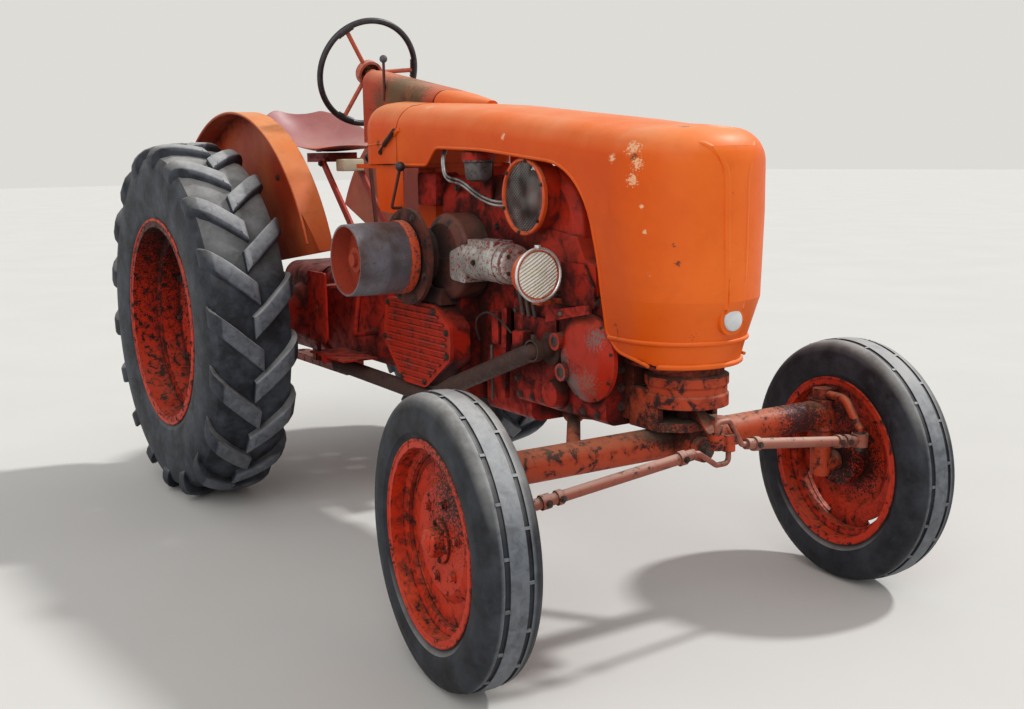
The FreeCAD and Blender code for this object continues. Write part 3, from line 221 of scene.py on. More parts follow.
def worn_metal(name, colours, rusting, rough, metallic=1.0, grain_mm=2.0, painted=None, cloud_mm=60.0):
    """Bare metal with tarnish in broad clouds and rust that starts in pits.

    The colours are those of the metal, of its tarnish and of its rust. painted is the paint left inside a
    turned piece: its axis (x, z) and radius in mm, and the colour."""
    material, tree, shader, place = new_finish(name)
    metal, tarnish, rust = (linear(colour) for colour in colours)
    cloud = add(tree, "Noise", place, lumps(cloud_mm))
    pit = add(tree, "Noise", place, lumps(12), 10.0, 0.7, 0.3)
    grain = add(tree, "Noise", place, lumps(grain_mm), 3.0)
    colour = add(tree, "Over", add(tree, "Step", cloud, 0.35, 0.65), metal, tarnish)
    limit = 0.78 - 0.5 * rusting
    eaten = add(tree, "Plus", pit, add(tree, "Times", hollow_mask(tree, 60.0), 0.15))
    rusty = add(tree, "Step", eaten, limit, limit + 0.1)
    if painted:
        x, z, radius, paint = painted
        flat = add(tree, "Stretch", place, (1.0, 0.0, 1.0))
        far = add(tree, "Apart", flat, (x / 1000, 0.0, z / 1000))
        inside = add(tree, "Step", far, radius / 1000, (radius - 2) / 1000)
        left = add(tree, "Times", inside, add(tree, "Step", pit, 0.62, 0.56))
        rusty = add(tree, "Greater", rusty, inside)
        rust_tone = add(tree, "Over", left, rust, linear(paint))
    else:
        rust_tone = add(tree, "Over", grain, rust, linear("#2A1D18"))
    dull = add(tree, "Plus", rusty, add(tree, "Times", cloud, 0.4))
    height = add(tree, "Plus", add(tree, "Times", pit, 0.6), add(tree, "Times", grain, 0.25))
    settle(tree, shader, {"Base Color": add(tree, "Over", rusty, colour, rust_tone),
                          "Metallic": add(tree, "Step", rusty, 0.0, 1.0, metallic, 0.05),
                          "Roughness": add(tree, "Step", dull, 0.0, 1.2, rough, 0.85),
                          "Normal": add(tree, "Relief", height)})
    return material


def rubber(name, colours, dusty):
    """Old tyre rubber: chalky black, dust on what faces up, tops of the tread rubbed to a paler grey that
    shows most where they face up, as painted sunlight, and hollows darkened back to black as painted shade.

    The colours are those of the rubber, of its chalk and of the rubbed tops in painted sunlight. The mesh's
    own wear attribute runs from 0 on the carcass to 1 on the tread's top."""
    material, tree, shader, place = new_finish(name, 0.3)
    black, chalk, worn = (linear(colour) for colour in colours)
    cloud = add(tree, "Noise", place, lumps(90))
    smear = add(tree, "Noise", place, lumps(24), 8.0, 0.6, 0.6)
    grain = add(tree, "Noise", place, lumps(2.5), 4.0)
    sky = sky_mask(tree)
    blotch = add(tree, "Plus", cloud, add(tree, "Times", smear, 0.5))
    colour = add(tree, "Over", add(tree, "Step", blotch, 0.62, 0.95, 0.0, dusty), black, chalk)
    # Painted sunlight: rubbed tops show fully only where they face up, and about a third as much on the sides
    painted_sunlight = add(tree, "Step", sky, 0.0, 1.0, 0.35)
    rubbed = add(tree, "Times", painted_sunlight, add(tree, "Step", add(tree, "Wear"), 0.7))
    rubbed = add(tree, "Times", rubbed, add(tree, "Step", smear, 0.25, 0.7, 0.35))
    colour = add(tree, "Over", rubbed, colour, worn)
    laid = add(tree, "Times", sky, add(tree, "Step", blotch, 0.5, 0.95, 0.4, 0.9))
    colour = add(tree, "Over", laid, colour, linear("#AFADA8"))
    # Painted shade: hollows are darkened back to black rubber
    shade = add(tree, "Step", smear, 0.3, 0.7, 0.15, 0.6)
    colour = add(tree, "Over", add(tree, "Times", hollow_mask(tree, 70.0), shade), colour, black)
    height = add(tree, "Plus", add(tree, "Times", grain, 0.3), add(tree, "Times", smear, 0.8))
    settle(tree, shader, {"Base Color": colour, "Normal": add(tree, "Relief", height, 0.4),
                          "Roughness": add(tree, "Step", smear, 0.3, 0.7, 0.5, 0.78)})
    return material


def ribbed_glass(name):
    """Pressed lamp glass: clear and faintly yellow, with slanting ribs 8.5 mm apart on its back, the grooves
    between them darkened as painted shade.
    """
    material, tree, shader, place = new_finish(name)
    slant = add(tree, "Slant", place, (math.radians(-30), 0.0, 0.0))
    # A wave of scale 1 repeats every 2 pi / 20 m
    ribs = add(tree, "Waves", slant, 2 * math.pi / 20 / 0.0085)
    milk = add(tree, "Step", add(tree, "Noise", place, lumps(30)), 0.3, 0.7)
    shade = add(tree, "Over", milk, linear("#FBF9EE"), linear("#E4E0C8"))
    # Painted shade: the grooves between the ribs take a darker colour
    groove = add(tree, "Step", ribs, 0.35, 0.0, 0.0, 0.5)
    settle(tree, shader, {"Base Color": add(tree, "Over", groove, shade, linear("#A9A793")),
                          "Normal": add(tree, "Relief", ribs, 0.9, 0.003), "Roughness": 0.14, "IOR": 1.5,
                          "Transmission Weight": 0.06, "Coat Weight": 0.6})
    return material


def chalky_plastic(name, tint, dust, rough):
    """Hard plastic or bakelite, polished by hands and dulled by dust."""
    material, tree, shader, place = new_finish(name)
    cloud = add(tree, "Noise", place, lumps(40))
    fine = add(tree, "Noise", place, lumps(4), 4.0)
    film = add(tree, "Step", cloud, 0.45, 0.75, 0.0, 0.5)
    settle(tree, shader, {"Base Color": add(tree, "Over", film, linear(tint), linear(dust)),
                          "Roughness": add(tree, "Step", cloud, 0.3, 0.7, rough, rough + 0.25),
                          "Normal": add(tree, "Relief", fine, 0.25, 0.0008)})
    return material


def stage_finish(name, tint):
    """Plain pale sweep: the floor keeps its shadow and mottles a little, as trowelled concrete does."""
    material, tree, shader, place = new_finish(name, 0.2)
    mottle = add(tree, "Step", add(tree, "Noise", place, lumps(900), 5.0, 0.5), 0.35, 0.65, 0.0, 0.25)
    settle(tree, shader, {"Base Color": add(tree, "Over", mottle, linear(tint), linear("#C2BFB9")),
                          "Roughness": 0.9})
    return material


# Scraped and stained patches of the paint, painted shadow on the right front wheel and a darker upper part
# on the rear wheels: place in mm, radius, colour
SCRAPED, SCUFFED, EARTH, STEEL, GREASE_AND_SHADOW = "#E6AE84", "#6E3A22", "#5C4428", "#6E625E", "#1C0E0B"
HOOD_SCARS = (
    ((1259, -205, 1262), 36, SCRAPED), ((1265, -205, 1240), 20, SCUFFED), ((1275, -205, 1222), 26, SCRAPED),
    ((1262, -208, 1184), 24, SCRAPED), ((1196, -214, 1236), 17, SCRAPED), ((1352, -140, 985), 12, SCUFFED),
    ((1346, -148, 1030), 9, SCUFFED), ((1285, -195, 1120), 10, SCRAPED), ((1290, -190, 1060), 9, SCRAPED),
    ((1300, -185, 960), 12, SCRAPED), ((180, -150, 1408), 26, SCRAPED), ((700, -214, 1300), 14, SCRAPED),
    ((70, -140, 1412), 24, SCUFFED), ((1310, 30, 1302), 50, SCRAPED), ((1296, -70, 1302), 22, SCUFFED),
    ((1290, -165, 800), 16, SCUFFED), ((1362, -90, 800), 18, SCUFFED), ((1404, -18, 1150), 10, SCUFFED))
COWL_SCARS = ((-60, -215, 1290), 20, SCUFFED), ((60, -150, 1412), 14, SCUFFED)
COLUMN_COVER_SCARS = (((-190, -72, 1470), 210, EARTH), ((-330, -66, 1440), 90, SCUFFED),
                      ((-60, -74, 1440), 120, EARTH))
COVER_SCARS = (((985, -166, 640), 80, STEEL), ((1050, -165, 660), 60, "#8A5A4A"),
               ((940, -166, 700), 60, STEEL), ((1075, -165, 770), 50, STEEL))
# Grease round the left wheel's hub; the two patches on the right wheel are painted shadow in its upper dish
FRONT_WHEEL_GREASE_AND_SHADOW = (((1186, 640, 355), 190, GREASE_AND_SHADOW), ((1250, -640, 500), 230, GREASE_AND_SHADOW),
               ((1184, -640, 420), 120, GREASE_AND_SHADOW), ((1130, 640, 480), 130, GREASE_AND_SHADOW))
# Each rear wheel darkened over its upper part
REAR_WHEEL_UPPER_DARKENING = ((-872, -590, 960), 640, "#241310"), ((-872, 590, 960), 640, "#241310")
AXLE_SCARS = ((1188, 440, 500), 150, "#3A1C1E"), ((1228, -60, 560), 110, "#3A2A20")
SEAT_SCARS = ((-745, -120, 1290), 110, "#C4562E"), ((-730, 60, 1290), 120, "#C4562E")

FINISH = {}


def make_finishes(colours):
    """Every finish of the tractor, under the name that the pieces ask for."""
    # Bright cellulose enamel on pressed sheet: bleached on top, brown and white scrapes at shoulder and seam;
    # the nose is lightened towards the front as a painted highlight of sun glare
    FINISH["hood"] = enamel("hood_enamel", (colours.hood, "#F47E2C", "#7A4A33", "#7A2A06"),
                            0.26, 0.06, 0.85, 0.42, 60.0, 0.04, 0.2, 0.34, HOOD_SCARS, (1180, 1420))
    # The same enamel on fenders, scuffed by boots and flaking along the rolled edges
    FINISH["fender"] = enamel("fender_enamel", ("#9C2E0C", "#EC9450", "#6B4536", "#34140A"),
                              0.28, 0.36, 1.0, 0.46, 70.0, 0.12, 0.2, 0.3)
    # Tank and console: the same paint, dusty and darkened with painted shade along the seams
    FINISH["cowl"] = enamel("cowl_enamel", ("#CC4406", "#E88A48", "#5F3B2B", "#5A1E0A"),
                            0.22, 0.2, 0.9, 0.42, 80.0, 0.1, 0.2, 0.2, COWL_SCARS)
    # Column cover: paint gone brown with hands, dust and spilt fuel
    FINISH["cover"] = enamel("column_cover_enamel", ("#A8381C", "#D07048", "#6B4A3C", "#3C1C12"),
                             0.4, 0.4, 0.7, 0.5, 60.0, 0.15, 0.2, 0.3, COLUMN_COVER_SCARS)
    # Castings of engine and gearbox: red under a coat of black oil and road dirt
    FINISH["engine"] = enamel("engine_enamel", (colours.engine, "#A8351C", "#3A2A26", "#120B09"),
                              0.34, 0.72, 0.35, 0.5, 48.0, 0.4, 0.22, 0.12)
    # Bolted covers, wiped cleaner than the castings round them
    FINISH["covers"] = enamel("cover_enamel", ("#AE260F", "#BC4226", "#8C8078", "#1C0F0B"),
                              0.30, 0.5, 0.35, 0.45, 52.0, 0.3, 0.25, 0.12, COVER_SCARS)
    # Front wheels: orange-red with dark patches where paint has come away in flakes, grease round the left
    # hub and painted shadow in the upper dish of the right wheel
    FINISH["wheel"] = enamel("wheel_enamel", (colours.wheels, "#D4562E", "#3B201A", "#2A120C"),
                             0.60, 0.5, 0.6, 0.5, 24.0, 0.3, 0.25, 0.15, FRONT_WHEEL_GREASE_AND_SHADOW)
    # Rear wheels: more paint lost, brown iron with red left in flecks, darker over their upper part
    FINISH["rear_wheel"] = enamel("rear_wheel_enamel", ("#B42A12", "#C04022", "#35201B", "#1D0F0C"),
                                  0.74, 0.66, 0.3, 0.55, 26.0, 0.35, 0.2, 0.12, REAR_WHEEL_UPPER_DARKENING)
    # Axle, column and knuckles: brown-orange castings, rust through the paint
    FINISH["axle"] = enamel("axle_enamel", ("#A83A1A", "#BC6C48", "#5A3034", "#2A1410"),
                            0.68, 0.66, 0.7, 0.55, 34.0, 0.5, 0.25, 0.3, AXLE_SCARS)
    # Seat pan: enamel faded to a pinkish crimson, polished by use
    FINISH["seat"] = enamel("seat_enamel", ("#8A3636", "#B88482", "#5A3A34", "#3C211D"),
                            0.3, 0.3, 0.85, 0.44, 70.0, 0.1, 0.4, 0.3, SEAT_SCARS)
    # Spokes and hub of the steering wheel: orange rubbed to pink and bare steel
    FINISH["spokes"] = enamel("spoke_enamel", ("#B8543A", "#CE9480", "#94766C", "#4A2A20"),
                              0.62, 0.3, 0.7, 0.4, 18.0, 0.2)
    # Track rods: pinkish brown, most paint gone
    FINISH["rods"] = enamel("track_rod_enamel", ("#8A4A3A", "#C6A496", "#6E4E44", "#2B1C17"),
                            0.6, 0.4, 0.9, 0.55, 20.0, 0.35, 0.3, 0.4)
    # Grey cast iron, dull with dried oil
    FINISH["iron"] = worn_metal("greasy_cast_iron", ("#5C5752", "#3B3734", "#6A3B24"), 0.5, 0.55, 0.6)
    # Gear case beside the pulley: grey-brown iron with red paint under the grease
    FINISH["case"] = enamel("gear_case_enamel", ("#5A2C22", "#6A4038", "#4A3E3A", "#1C1413"),
                            0.6, 0.55, 0.5, 0.5, 50.0, 0.35, 0.3, 0.2)
    # Turned steel pulley, blue-grey outside, with orange-brown paint left inside
    FINISH["pulley"] = worn_metal("polished_pulley_steel", ("#868A96", "#5C4E4C", "#5E3626"),
                                  0.42, 0.34, 0.8, 2.0, (*PULLEY, 103, "#983218"), 150.0)
    # Cast aluminium starter body with red overspray
    FINISH["alloy"] = worn_metal("cast_aluminium", ("#D2D1CD", "#9A9893", "#A8361E"), 0.56, 0.38, 0.85)
    # Dull bolts and small steel
    FINISH["bolts"] = worn_metal("oiled_bolt_steel", ("#4E4642", "#2E2926", "#5E3524"), 0.5, 0.5, 0.7, 1.2)
    # Exhaust: scaled brown iron, rust all over
    FINISH["exhaust"] = worn_metal("scaled_exhaust_iron", ("#4E3A36", "#2E2224", "#553428"),
                                   0.7, 0.55, 0.35, 3.0)
    # Bright plated steel of lamp rings
    FINISH["chrome"] = worn_metal("pitted_chrome", ("#F0F0EE", "#C8C6C2", "#8A5A3A"), 0.14, 0.16, 0.7)
    # Plain disc on the nose: matt white metal
    FINISH["disc"] = chalky_plastic("dull_white_metal", "#C9CBCB", "#9E9C98", 0.35)
    # Orange ring round the intake and bowls of the lamps, chipped at their rims
    FINISH["ring"] = enamel("lamp_and_ring_enamel", ("#C8481A", "#DC7A4A", "#4A2E25", "#3A1A10"),
                            0.36, 0.3, 0.6, 0.42, 22.0, 0.2)
    # Band of paint that flakes off turned steel
    FINISH["flaking"] = enamel("flaking_band_enamel", ("#B8401C", "#C8562E", "#4A4240", "#2E2220"),
                               0.7, 0.2, 0.3, 0.5, 12.0, 0.3)
    # Grey sediment bowl of the fuel filter
    FINISH["bowl"] = worn_metal("dull_filter_zinc", ("#6F6B6A", "#4B4544", "#4B2A22"), 0.5, 0.45, 0.6)
    # Steel fuel pipes: bright where they catch the light
    FINISH["pipe"] = worn_metal("bright_pipe_steel", ("#B4B2B0", "#4A4644", "#3A2A24"), 0.3, 0.3, 0.9, 3.0)
    # Hard rubber and bakelite
    FINISH["plastic"] = chalky_plastic("worn_bakelite", "#1B191E", "#4A4248", 0.28)
    # Grey rubber knob of the throttle
    FINISH["knob"] = chalky_plastic("grey_rubber_knob", "#4A494F", "#6A6668", 0.5)
    # Cream painted box of the rear lamp
    FINISH["cream"] = chalky_plastic("cream_enamel", "#C9BFA2", "#8E8068", 0.5)
    # Ribbed glass of the headlamps
    FINISH["glass"] = ribbed_glass("ribbed_lamp_glass")
    # Tyre rubber: big rear tyres dusty blue-grey, front tyres blacker
    FINISH["rear_rubber"] = rubber("dusty_tractor_rubber", ("#15171D", "#454A54", "#9A9EA6"), 0.75)
    FINISH["front_rubber"] = rubber("ribbed_tyre_rubber", ("#15161B", "#3C4048", "#A4A9B0"), 0.65)


# The nodes that each finish goes on
FINISH_NODES = {
    "hood": ("hood",),
    "cowl": ("fuel_tank", "tank_console"),
    "cover": ("column_cover",),
    "fender": ("fender_right", "fender_left"),
    "engine": ("engine_block", "cylinder_bank", "gearbox_housing", "steering_gear", "rear_axle_housing",
               "foot_rests"),
    "covers": ("timing_cover", "blower_casing", "ribbed_cover", "seat_frame"),
    "case": ("pulley_housing", "hand_levers"),
    "axle": ("intake_screen", "drawbar", "front_column", "steering_lever", "front_axle", "knuckle_right",
             "knuckle_left"),
    "iron": ("pto_shaft",),
    "alloy": ("starter_motor",),
    "pipe": ("fuel_filter_lines",),
    "exhaust": ("exhaust_pipe",),
    "rods": ("tie_rod_right", "tie_rod_left"),
    "rear_wheel": ("rear_wheel_right", "rear_wheel_left"),
    "wheel": ("front_wheel_right", "front_wheel_left"),
    "pulley": ("belt_pulley",),
    "seat": ("seat_pan",),
    "plastic": ("steering_wheel_rim",),
    "spokes": ("steering_wheel_spokes",),
    "ring": ("headlamp_bowls",),
    "glass": ("headlamp_glasses",),
    "rear_rubber": ("rear_tyre_right", "rear_tyre_left"),
    "front_rubber": ("front_tyre_right", "front_tyre_left"),
}


# Shapes

def turned(bm, profile, steps, closed=True):
    """Spins (across, radius) points about the Y axis; across runs along +Y."""
    verts = [bm.verts.new((radius, across, 0)) for across, radius in profile]
    edges = [bm.edges.new(pair) for pair in zip(verts, verts[1:])]
    if closed:
        edges.append(bm.edges.new((verts[-1], verts[0])))
    bmesh.ops.spin(bm, geom=verts + edges, cent=(0, 0, 0), axis=(0, 1, 0), dvec=(0, 0, 0),
                   angle=2 * math.pi, steps=steps, use_merge=True)
    bmesh.ops.remove_doubles(bm, verts=bm.verts, dist=0.01)


def rear_place(side):
    """From a rear wheel's own frame, +Y outward, to the tractor's."""
    return Matrix.Translation((REAR_AXLE_X, side * REAR_Y, REAR_TYRE_R)) @ Matrix.Diagonal((1, side, 1, 1))


def front_place(side):
    """From a front wheel's own frame, +Y outward, to the tractor's, steered as it is parked."""
    kingpin = Matrix.Translation((FRONT_AXLE_X, side * KINGPIN_Y, 0))
    turn = kingpin @ Matrix.Rotation(math.radians(PARKED_STEER), 4, "Z") @ kingpin.inverted()
    return (turn @ Matrix.Translation((FRONT_AXLE_X, side * FRONT_Y, FRONT_TYRE_R))
            @ Matrix.Diagonal((1, side, 1, 1)))


def finished(name, data, finish, body, replaces=()):
    """Makes a mesh or a curve a piece with its finish, which rides on a body of the frame."""
    data.materials.append(FINISH[finish])
    piece = bpy.data.objects.new(name, data)
    bpy.context.scene.collection.objects.link(piece)
    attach(piece, body)
    if replaces:
        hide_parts(*replaces)
    return piece


def show(name, bm, finish, body="tractor", place=None, replaces=(), sharp=35.0, wear=None):
    """Makes a bmesh in mm a piece, with the mesh's faces turned outward."""
    if wear:
        layer = bm.verts.layers.float.new("wear")
        for vert in bm.verts:
            vert[layer] = wear(vert.co)
    bmesh.ops.recalc_face_normals(bm, faces=bm.faces)
    if place:
        bmesh.ops.transform(bm, matrix=place, verts=bm.verts)
        if place.determinant() < 0:
            bmesh.ops.reverse_faces(bm, faces=bm.faces)
    bmesh.ops.scale(bm, vec=(0.001, 0.001, 0.001), verts=bm.verts)
    mesh = bpy.data.meshes.new(name)
    bm.to_mesh(mesh)
    bm.free()
    mesh.shade_smooth()
    mesh.set_sharp_from_angle(angle=math.radians(sharp))
    return finished(name, mesh, finish, body, replaces)


def facing(spot, normal):
    """Where a shape made along +Z has to go to stand at spot and face along normal."""
    return Matrix.Translation(spot) @ Vector(normal).to_track_quat("Z", "Y").to_matrix().to_4x4()


def bolt(bm, spot, normal, size=9.0):
    """Hexagon head on a round washer; size is half the head's width."""
    at = facing(spot, normal)
    bmesh.ops.create_cone(bm, cap_ends=True, segments=14, radius1=size * 1.4, radius2=size * 1.4, depth=2.6,
                          matrix=at @ Matrix.Translation((0, 0, 1)))
    bmesh.ops.create_cone(bm, cap_ends=True, segments=6, radius1=size, radius2=size * 0.93,
                          depth=size * 0.85, matrix=at @ Matrix.Translation((0, 0, 2 + size * 0.42)))


def round_bar(bm, start, end, radius, steps=20, taper=1.0):
    """Straight round bar between two points."""
    start, end = Vector(start), Vector(end)
    at = facing((start + end) / 2, end - start)
    bmesh.ops.create_cone(bm, cap_ends=True, segments=steps, radius1=radius, radius2=radius * taper,
                          depth=(end - start).length, matrix=at)


def block(bm, x, y, z, edge=2.0):
    """Box between two values on each axis, its edges rounded."""
    size = [hi - lo for lo, hi in (x, y, z)]
    middle = [(hi + lo) / 2 for lo, hi in (x, y, z)]
    made = bmesh.ops.create_cube(bm, size=1.0,
                                 matrix=Matrix.Translation(middle) @ Matrix.Diagonal(size + [1]))
    edges = list({e for v in made["verts"] for e in v.link_edges})
    bmesh.ops.bevel(bm, geom=edges, affect="EDGES", offset=edge, segments=2, profile=0.5, material=-1)


def plate(bm, outline, low, high, edge):
    """Flat plate from an (x, z) outline, from low to high along Y, the high side's edges rounded."""
    face = bm.faces.new([bm.verts.new((x, low, z)) for x, z in outline])
    grown = bmesh.ops.extrude_face_region(bm, geom=[face])["geom"]
    moved = [g for g in grown if isinstance(g, bmesh.types.BMVert)]
    bmesh.ops.translate(bm, vec=(0, high - low, 0), verts=moved)
    rims = [e for e in {e for v in moved for e in v.link_edges} if all(v in moved for v in e.verts)]
    bmesh.ops.bevel(bm, geom=rims, affect="EDGES", offset=edge, segments=2, profile=0.5, material=-1)


def ring_of(centre, radius, count, start=0.0, axis="Y"):
    """Points round a circle about an axis through centre; start in degrees."""
    for i in range(count):
        a = math.radians(start) + 2 * math.pi * i / count
        across, up = radius * math.cos(a), radius * math.sin(a)
        yield Vector(centre) + Vector((0, across, up) if axis == "X" else (across, 0, up))


def lathe(bm, profile, centre, axis, steps=48, closed=True):
    """Spins (along, radius) points about an axis through centre."""
    part = bmesh.new()
    turned(part, profile, steps, closed)
    at = Matrix.Translation(centre) @ Vector(axis).to_track_quat("Y", "Z").to_matrix().to_4x4()
    bmesh.ops.transform(part, matrix=at, verts=part.verts)
    mesh = bpy.data.meshes.new("turned_part")
    part.to_mesh(mesh)
    part.free()
    bm.from_mesh(mesh)
    bpy.data.meshes.remove(mesh)


def round_curve(name, kind, radius):
    """An empty 3-D curve with a round section, and its line."""
    curve = bpy.data.curves.new(name, "CURVE")
    curve.dimensions = "3D"
    curve.bevel_depth = radius / 1000
    curve.bevel_resolution = 3
    curve.use_fill_caps = True
    return curve, curve.splines.new(kind)


def pipe(name, points, radius, finish, replaces=()):
    """Round rigid steel pipe on one smooth line through control points in mm."""
    curve, line = round_curve(name, "NURBS", radius)
    line.points.add(len(points) - 1)
    for point, place in zip(line.points, points):
        point.co = (*(v / 1000 for v in place), 1)
    line.order_u = 3
    line.use_endpoint_u = True
    line.resolution_u = 8
    finished(name, curve, finish, "tractor", replaces)


def bead(name, stops, radius, finish, body, end=1.0):
    """Pressed or rolled bead of sheet metal: a bezier line through (place, left handle, right handle) in mm.

    A handle that is None points straight at the next stop. end is how much of its radius is left where the
    bead runs out."""
    curve, line = round_curve(name, "BEZIER", radius)
    line.bezier_points.add(len(stops) - 1)
    for i, (point, (at, left, right)) in enumerate(zip(line.bezier_points, stops)):
        left = left or Vector(at).lerp(stops[i - 1][0], 1 / 3)
        right = right or Vector(at).lerp(stops[min(i + 1, len(stops) - 1)][0], 1 / 3)
        point.handle_left_type = point.handle_right_type = "FREE"
        point.co, point.handle_left, point.handle_right = (Vector(v) / 1000 for v in (at, left, right))
    line.bezier_points[-1].radius = end
    line.resolution_u = 10
    finished(name, curve, finish, body)


def circle_profile(across, radius, thick, steps=10):
    """Points of a round section for a bead: centre at (across, radius)."""
    angles = [2 * math.pi * i / steps for i in range(steps)]
    return [(across + thick * math.cos(a), radius + thick * math.sin(a)) for a in angles]


def smooth_step(value, low, high):
    """0 below low, 1 above high, eased between."""
    t = min(max((value - low) / (high - low), 0.0), 1.0)
    return t * t * (3 - 2 * t)


# Tyres

# One lug of the outer row, centre of the tread to side wall: its top and its foot as (across, radius),
# and how far round the tyre it has slanted by there
LUG_STATIONS = (((-14, 654), (-14, 612), -75), ((6, 655), (6, 612), -57), ((34, 655.5), (34, 612), -32),
                ((64, 655), (64, 610), -4), ((94, 652), (92, 606), 23), ((120, 645), (114, 598), 46),
                ((139, 631), (126, 588), 65), ((150, 609), (132, 574), 80), ((152, 583), (136, 562), 91),
                ((143, 552), (138, 548), 100))
LUG_SLANT = math.radians(45)


def lug_block():
    """The straight block that each lug is bent from: Y along it, Z up, its top edges rounded."""
    bm = bmesh.new()
    bmesh.ops.create_cube(bm, size=1.0)
    along = [e for e in bm.edges if abs(e.verts[0].co.y - e.verts[1].co.y) > 0.5]
    bmesh.ops.subdivide_edges(bm, edges=along, cuts=len(LUG_STATIONS) - 2)
    rim = [e for e in bm.edges if all(v.co.z > 0.4 for v in e.verts)
           and (all(v.co.x > 0.4 for v in e.verts) or all(v.co.x < -0.4 for v in e.verts)
                or all(v.co.y > 0.4 for v in e.verts))]
    bmesh.ops.bevel(bm, geom=rim, affect="EDGES", offset=0.13, segments=2, profile=0.5, material=-1)
    straight = bpy.data.meshes.new("lug_block")
    bm.to_mesh(straight)
    bm.free()
    return straight


def rear_lug(bm, straight, sizes, turn, hand):
    """One slanting lug: the block bent along its stations, over the shoulder and into the wall."""
    bm.from_mesh(straight)
    bm.verts.ensure_lookup_table()
    for vert in bm.verts[-len(straight.vertices):]:
        x, y, z = vert.co
        here = (0.5 - y) * (len(LUG_STATIONS) - 1)
        i = min(int(here), len(LUG_STATIONS) - 2)
        near, far = LUG_STATIONS[i], LUG_STATIONS[i + 1]
        top, foot = (Vector(a).lerp(Vector(b), here - i) for a, b in zip(near[:2], far[:2]))
        across, r = foot.lerp(top, z + 0.5)
        width = (sizes.lug_width * 1000 + 12 * (0.5 - z)) / math.cos(LUG_SLANT)
        a = turn + (near[2] + (far[2] - near[2]) * (here - i) + x * width) / REAR_TYRE_R
        vert.co = (r * math.cos(a), hand * across, r * math.sin(a))


def make_rear_tyres(sizes):
    """Carcass with bulging walls, bead rings and two staggered rows of lugs; points aim down at the front."""
    base = REAR_TYRE_R - sizes.lug_height * 1000
    wall = [(132, 362), (135, 380), (137, 392), (141, 398), (143, 410), (147, 440), (150, 480), (150, 520),
            (147, 548), (143, 566), (139, 578), (128, base - 24), (96, base - 8), (50, base - 1)]
    step = 2 * math.pi / sizes.lug_count
    for name, side in SIDES:
        bm = bmesh.new()
        turned(bm, [(-y, r) for y, r in wall] + [(0, base)] + wall[::-1], 144)
        straight = lug_block()
        for i in range(sizes.lug_count):
            rear_lug(bm, straight, sizes, step * i, 1)
            rear_lug(bm, straight, sizes, step * (i + 0.5), -1)

        def wear(co):
            return smooth_step(math.hypot(co.x, co.z), base - 2, REAR_TYRE_R - 8)
        show("rear_tyre_tread_" + name, bm, "rear_rubber", "rear_wheel_" + name, rear_place(side),
             ("rear_tyre_" + name,), 40.0, wear)


def make_front_tyres(sizes):
    """Ribbed front tyres: three ribs, two grooves with thin cross bars, and a line round each wall."""
    depth = sizes.groove_depth * 1000
    low = FRONT_TYRE_R - depth
    wall = [(60, 232), (61, 248), (64, 256), (70, 262), (73, 276), (74, 292), (72, 306), (70, 311), (70, 316),
            (68, 322), (65, 334), (60, 342), (54, 347), (46, 350), (35, 352), (34, low + 1), (23, low + 2),
            (22, FRONT_TYRE_R - 1)]
    for name, side in SIDES:
        bm = bmesh.new()
        turned(bm, [(-y, r) for y, r in wall] + [(0, FRONT_TYRE_R)] + wall[::-1], 120)
        for hand in (-1, 1):
            for i in range(sizes.cross_bars):
                a = 2 * math.pi * (i + 0.5 * (hand > 0)) / sizes.cross_bars
                turn = Matrix.Rotation(-a, 4, "Y") @ Matrix.Translation((low + depth / 2 - 1, hand * 28.5, 0))
                bmesh.ops.create_cube(bm, size=1.0, matrix=turn @ Matrix.Diagonal((depth - 1.5, 12, 7, 1)))

        def wear(co):
            return smooth_step(math.hypot(co.x, co.z), low, FRONT_TYRE_R - 3)
        show("front_tyre_ribs_" + name, bm, "front_rubber", "front_wheel_" + name, front_place(side),
             ("front_tyre_" + name,), 32.0, wear)


# Wheels

def make_wheel_fittings():
    """Rolled rim edges, wheel nuts, rivets and valves."""
    for name, side in SIDES:
        bm = bmesh.new()
        for across in (-62.0, 62.0):
            turned(bm, circle_profile(across, 243, 4.2), 96)
        turned(bm, [(27, 53), (33, 53), (35, 50), (35, 37), (27, 37)], 40)
        turned(bm, [(63, 0), (63, 24), (66, 22), (70, 14), (71, 0)], 24, False)
        show("front_rim_edges_" + name, bm, "wheel", "front_wheel_" + name, front_place(side))
        bm = bmesh.new()
        for across, radius, start, out, size in ((26, 97, 15, 1, 10), (35, 45, 45, 1, 5),
                                                 (-46, 68, 15, -1, 6)):
            for spot in ring_of((0, across, 0), radius, 6, start):
                bolt(bm, spot, (0, out, 0), size)
        round_bar(bm, (150, 6, 150), (140, 34, 140), 4)
        round_bar(bm, (140, 34, 140), (139, 38, 139), 6)
        show("front_wheel_nuts_" + name, bm, "wheel", "front_wheel_" + name, front_place(side))
        bm = bmesh.new()
        for across in (-136.0, 136.0):
            turned(bm, circle_profile(across, 378, 5.5), 128)
        turned(bm, [(-60, 104), (-55, 104), (-52, 100), (-52, 66), (-60, 66)], 48)
        show("rear_rim_edges_" + name, bm, "wheel", "rear_wheel_" + name, rear_place(side))
        bm = bmesh.new()
        for across, radius, count, start, size in ((-52, 84, 8, 10, 13), (-33, 306, 12, 5, 11)):
            for spot in ring_of((0, across, 0), radius, count, start):
                bolt(bm, spot, (0, 1, 0), size)
        round_bar(bm, (216, -40, 216), (214, 4, 214), 5)
        show("rear_wheel_nuts_" + name, bm, "bolts", "rear_wheel_" + name, rear_place(side))


# Engine side

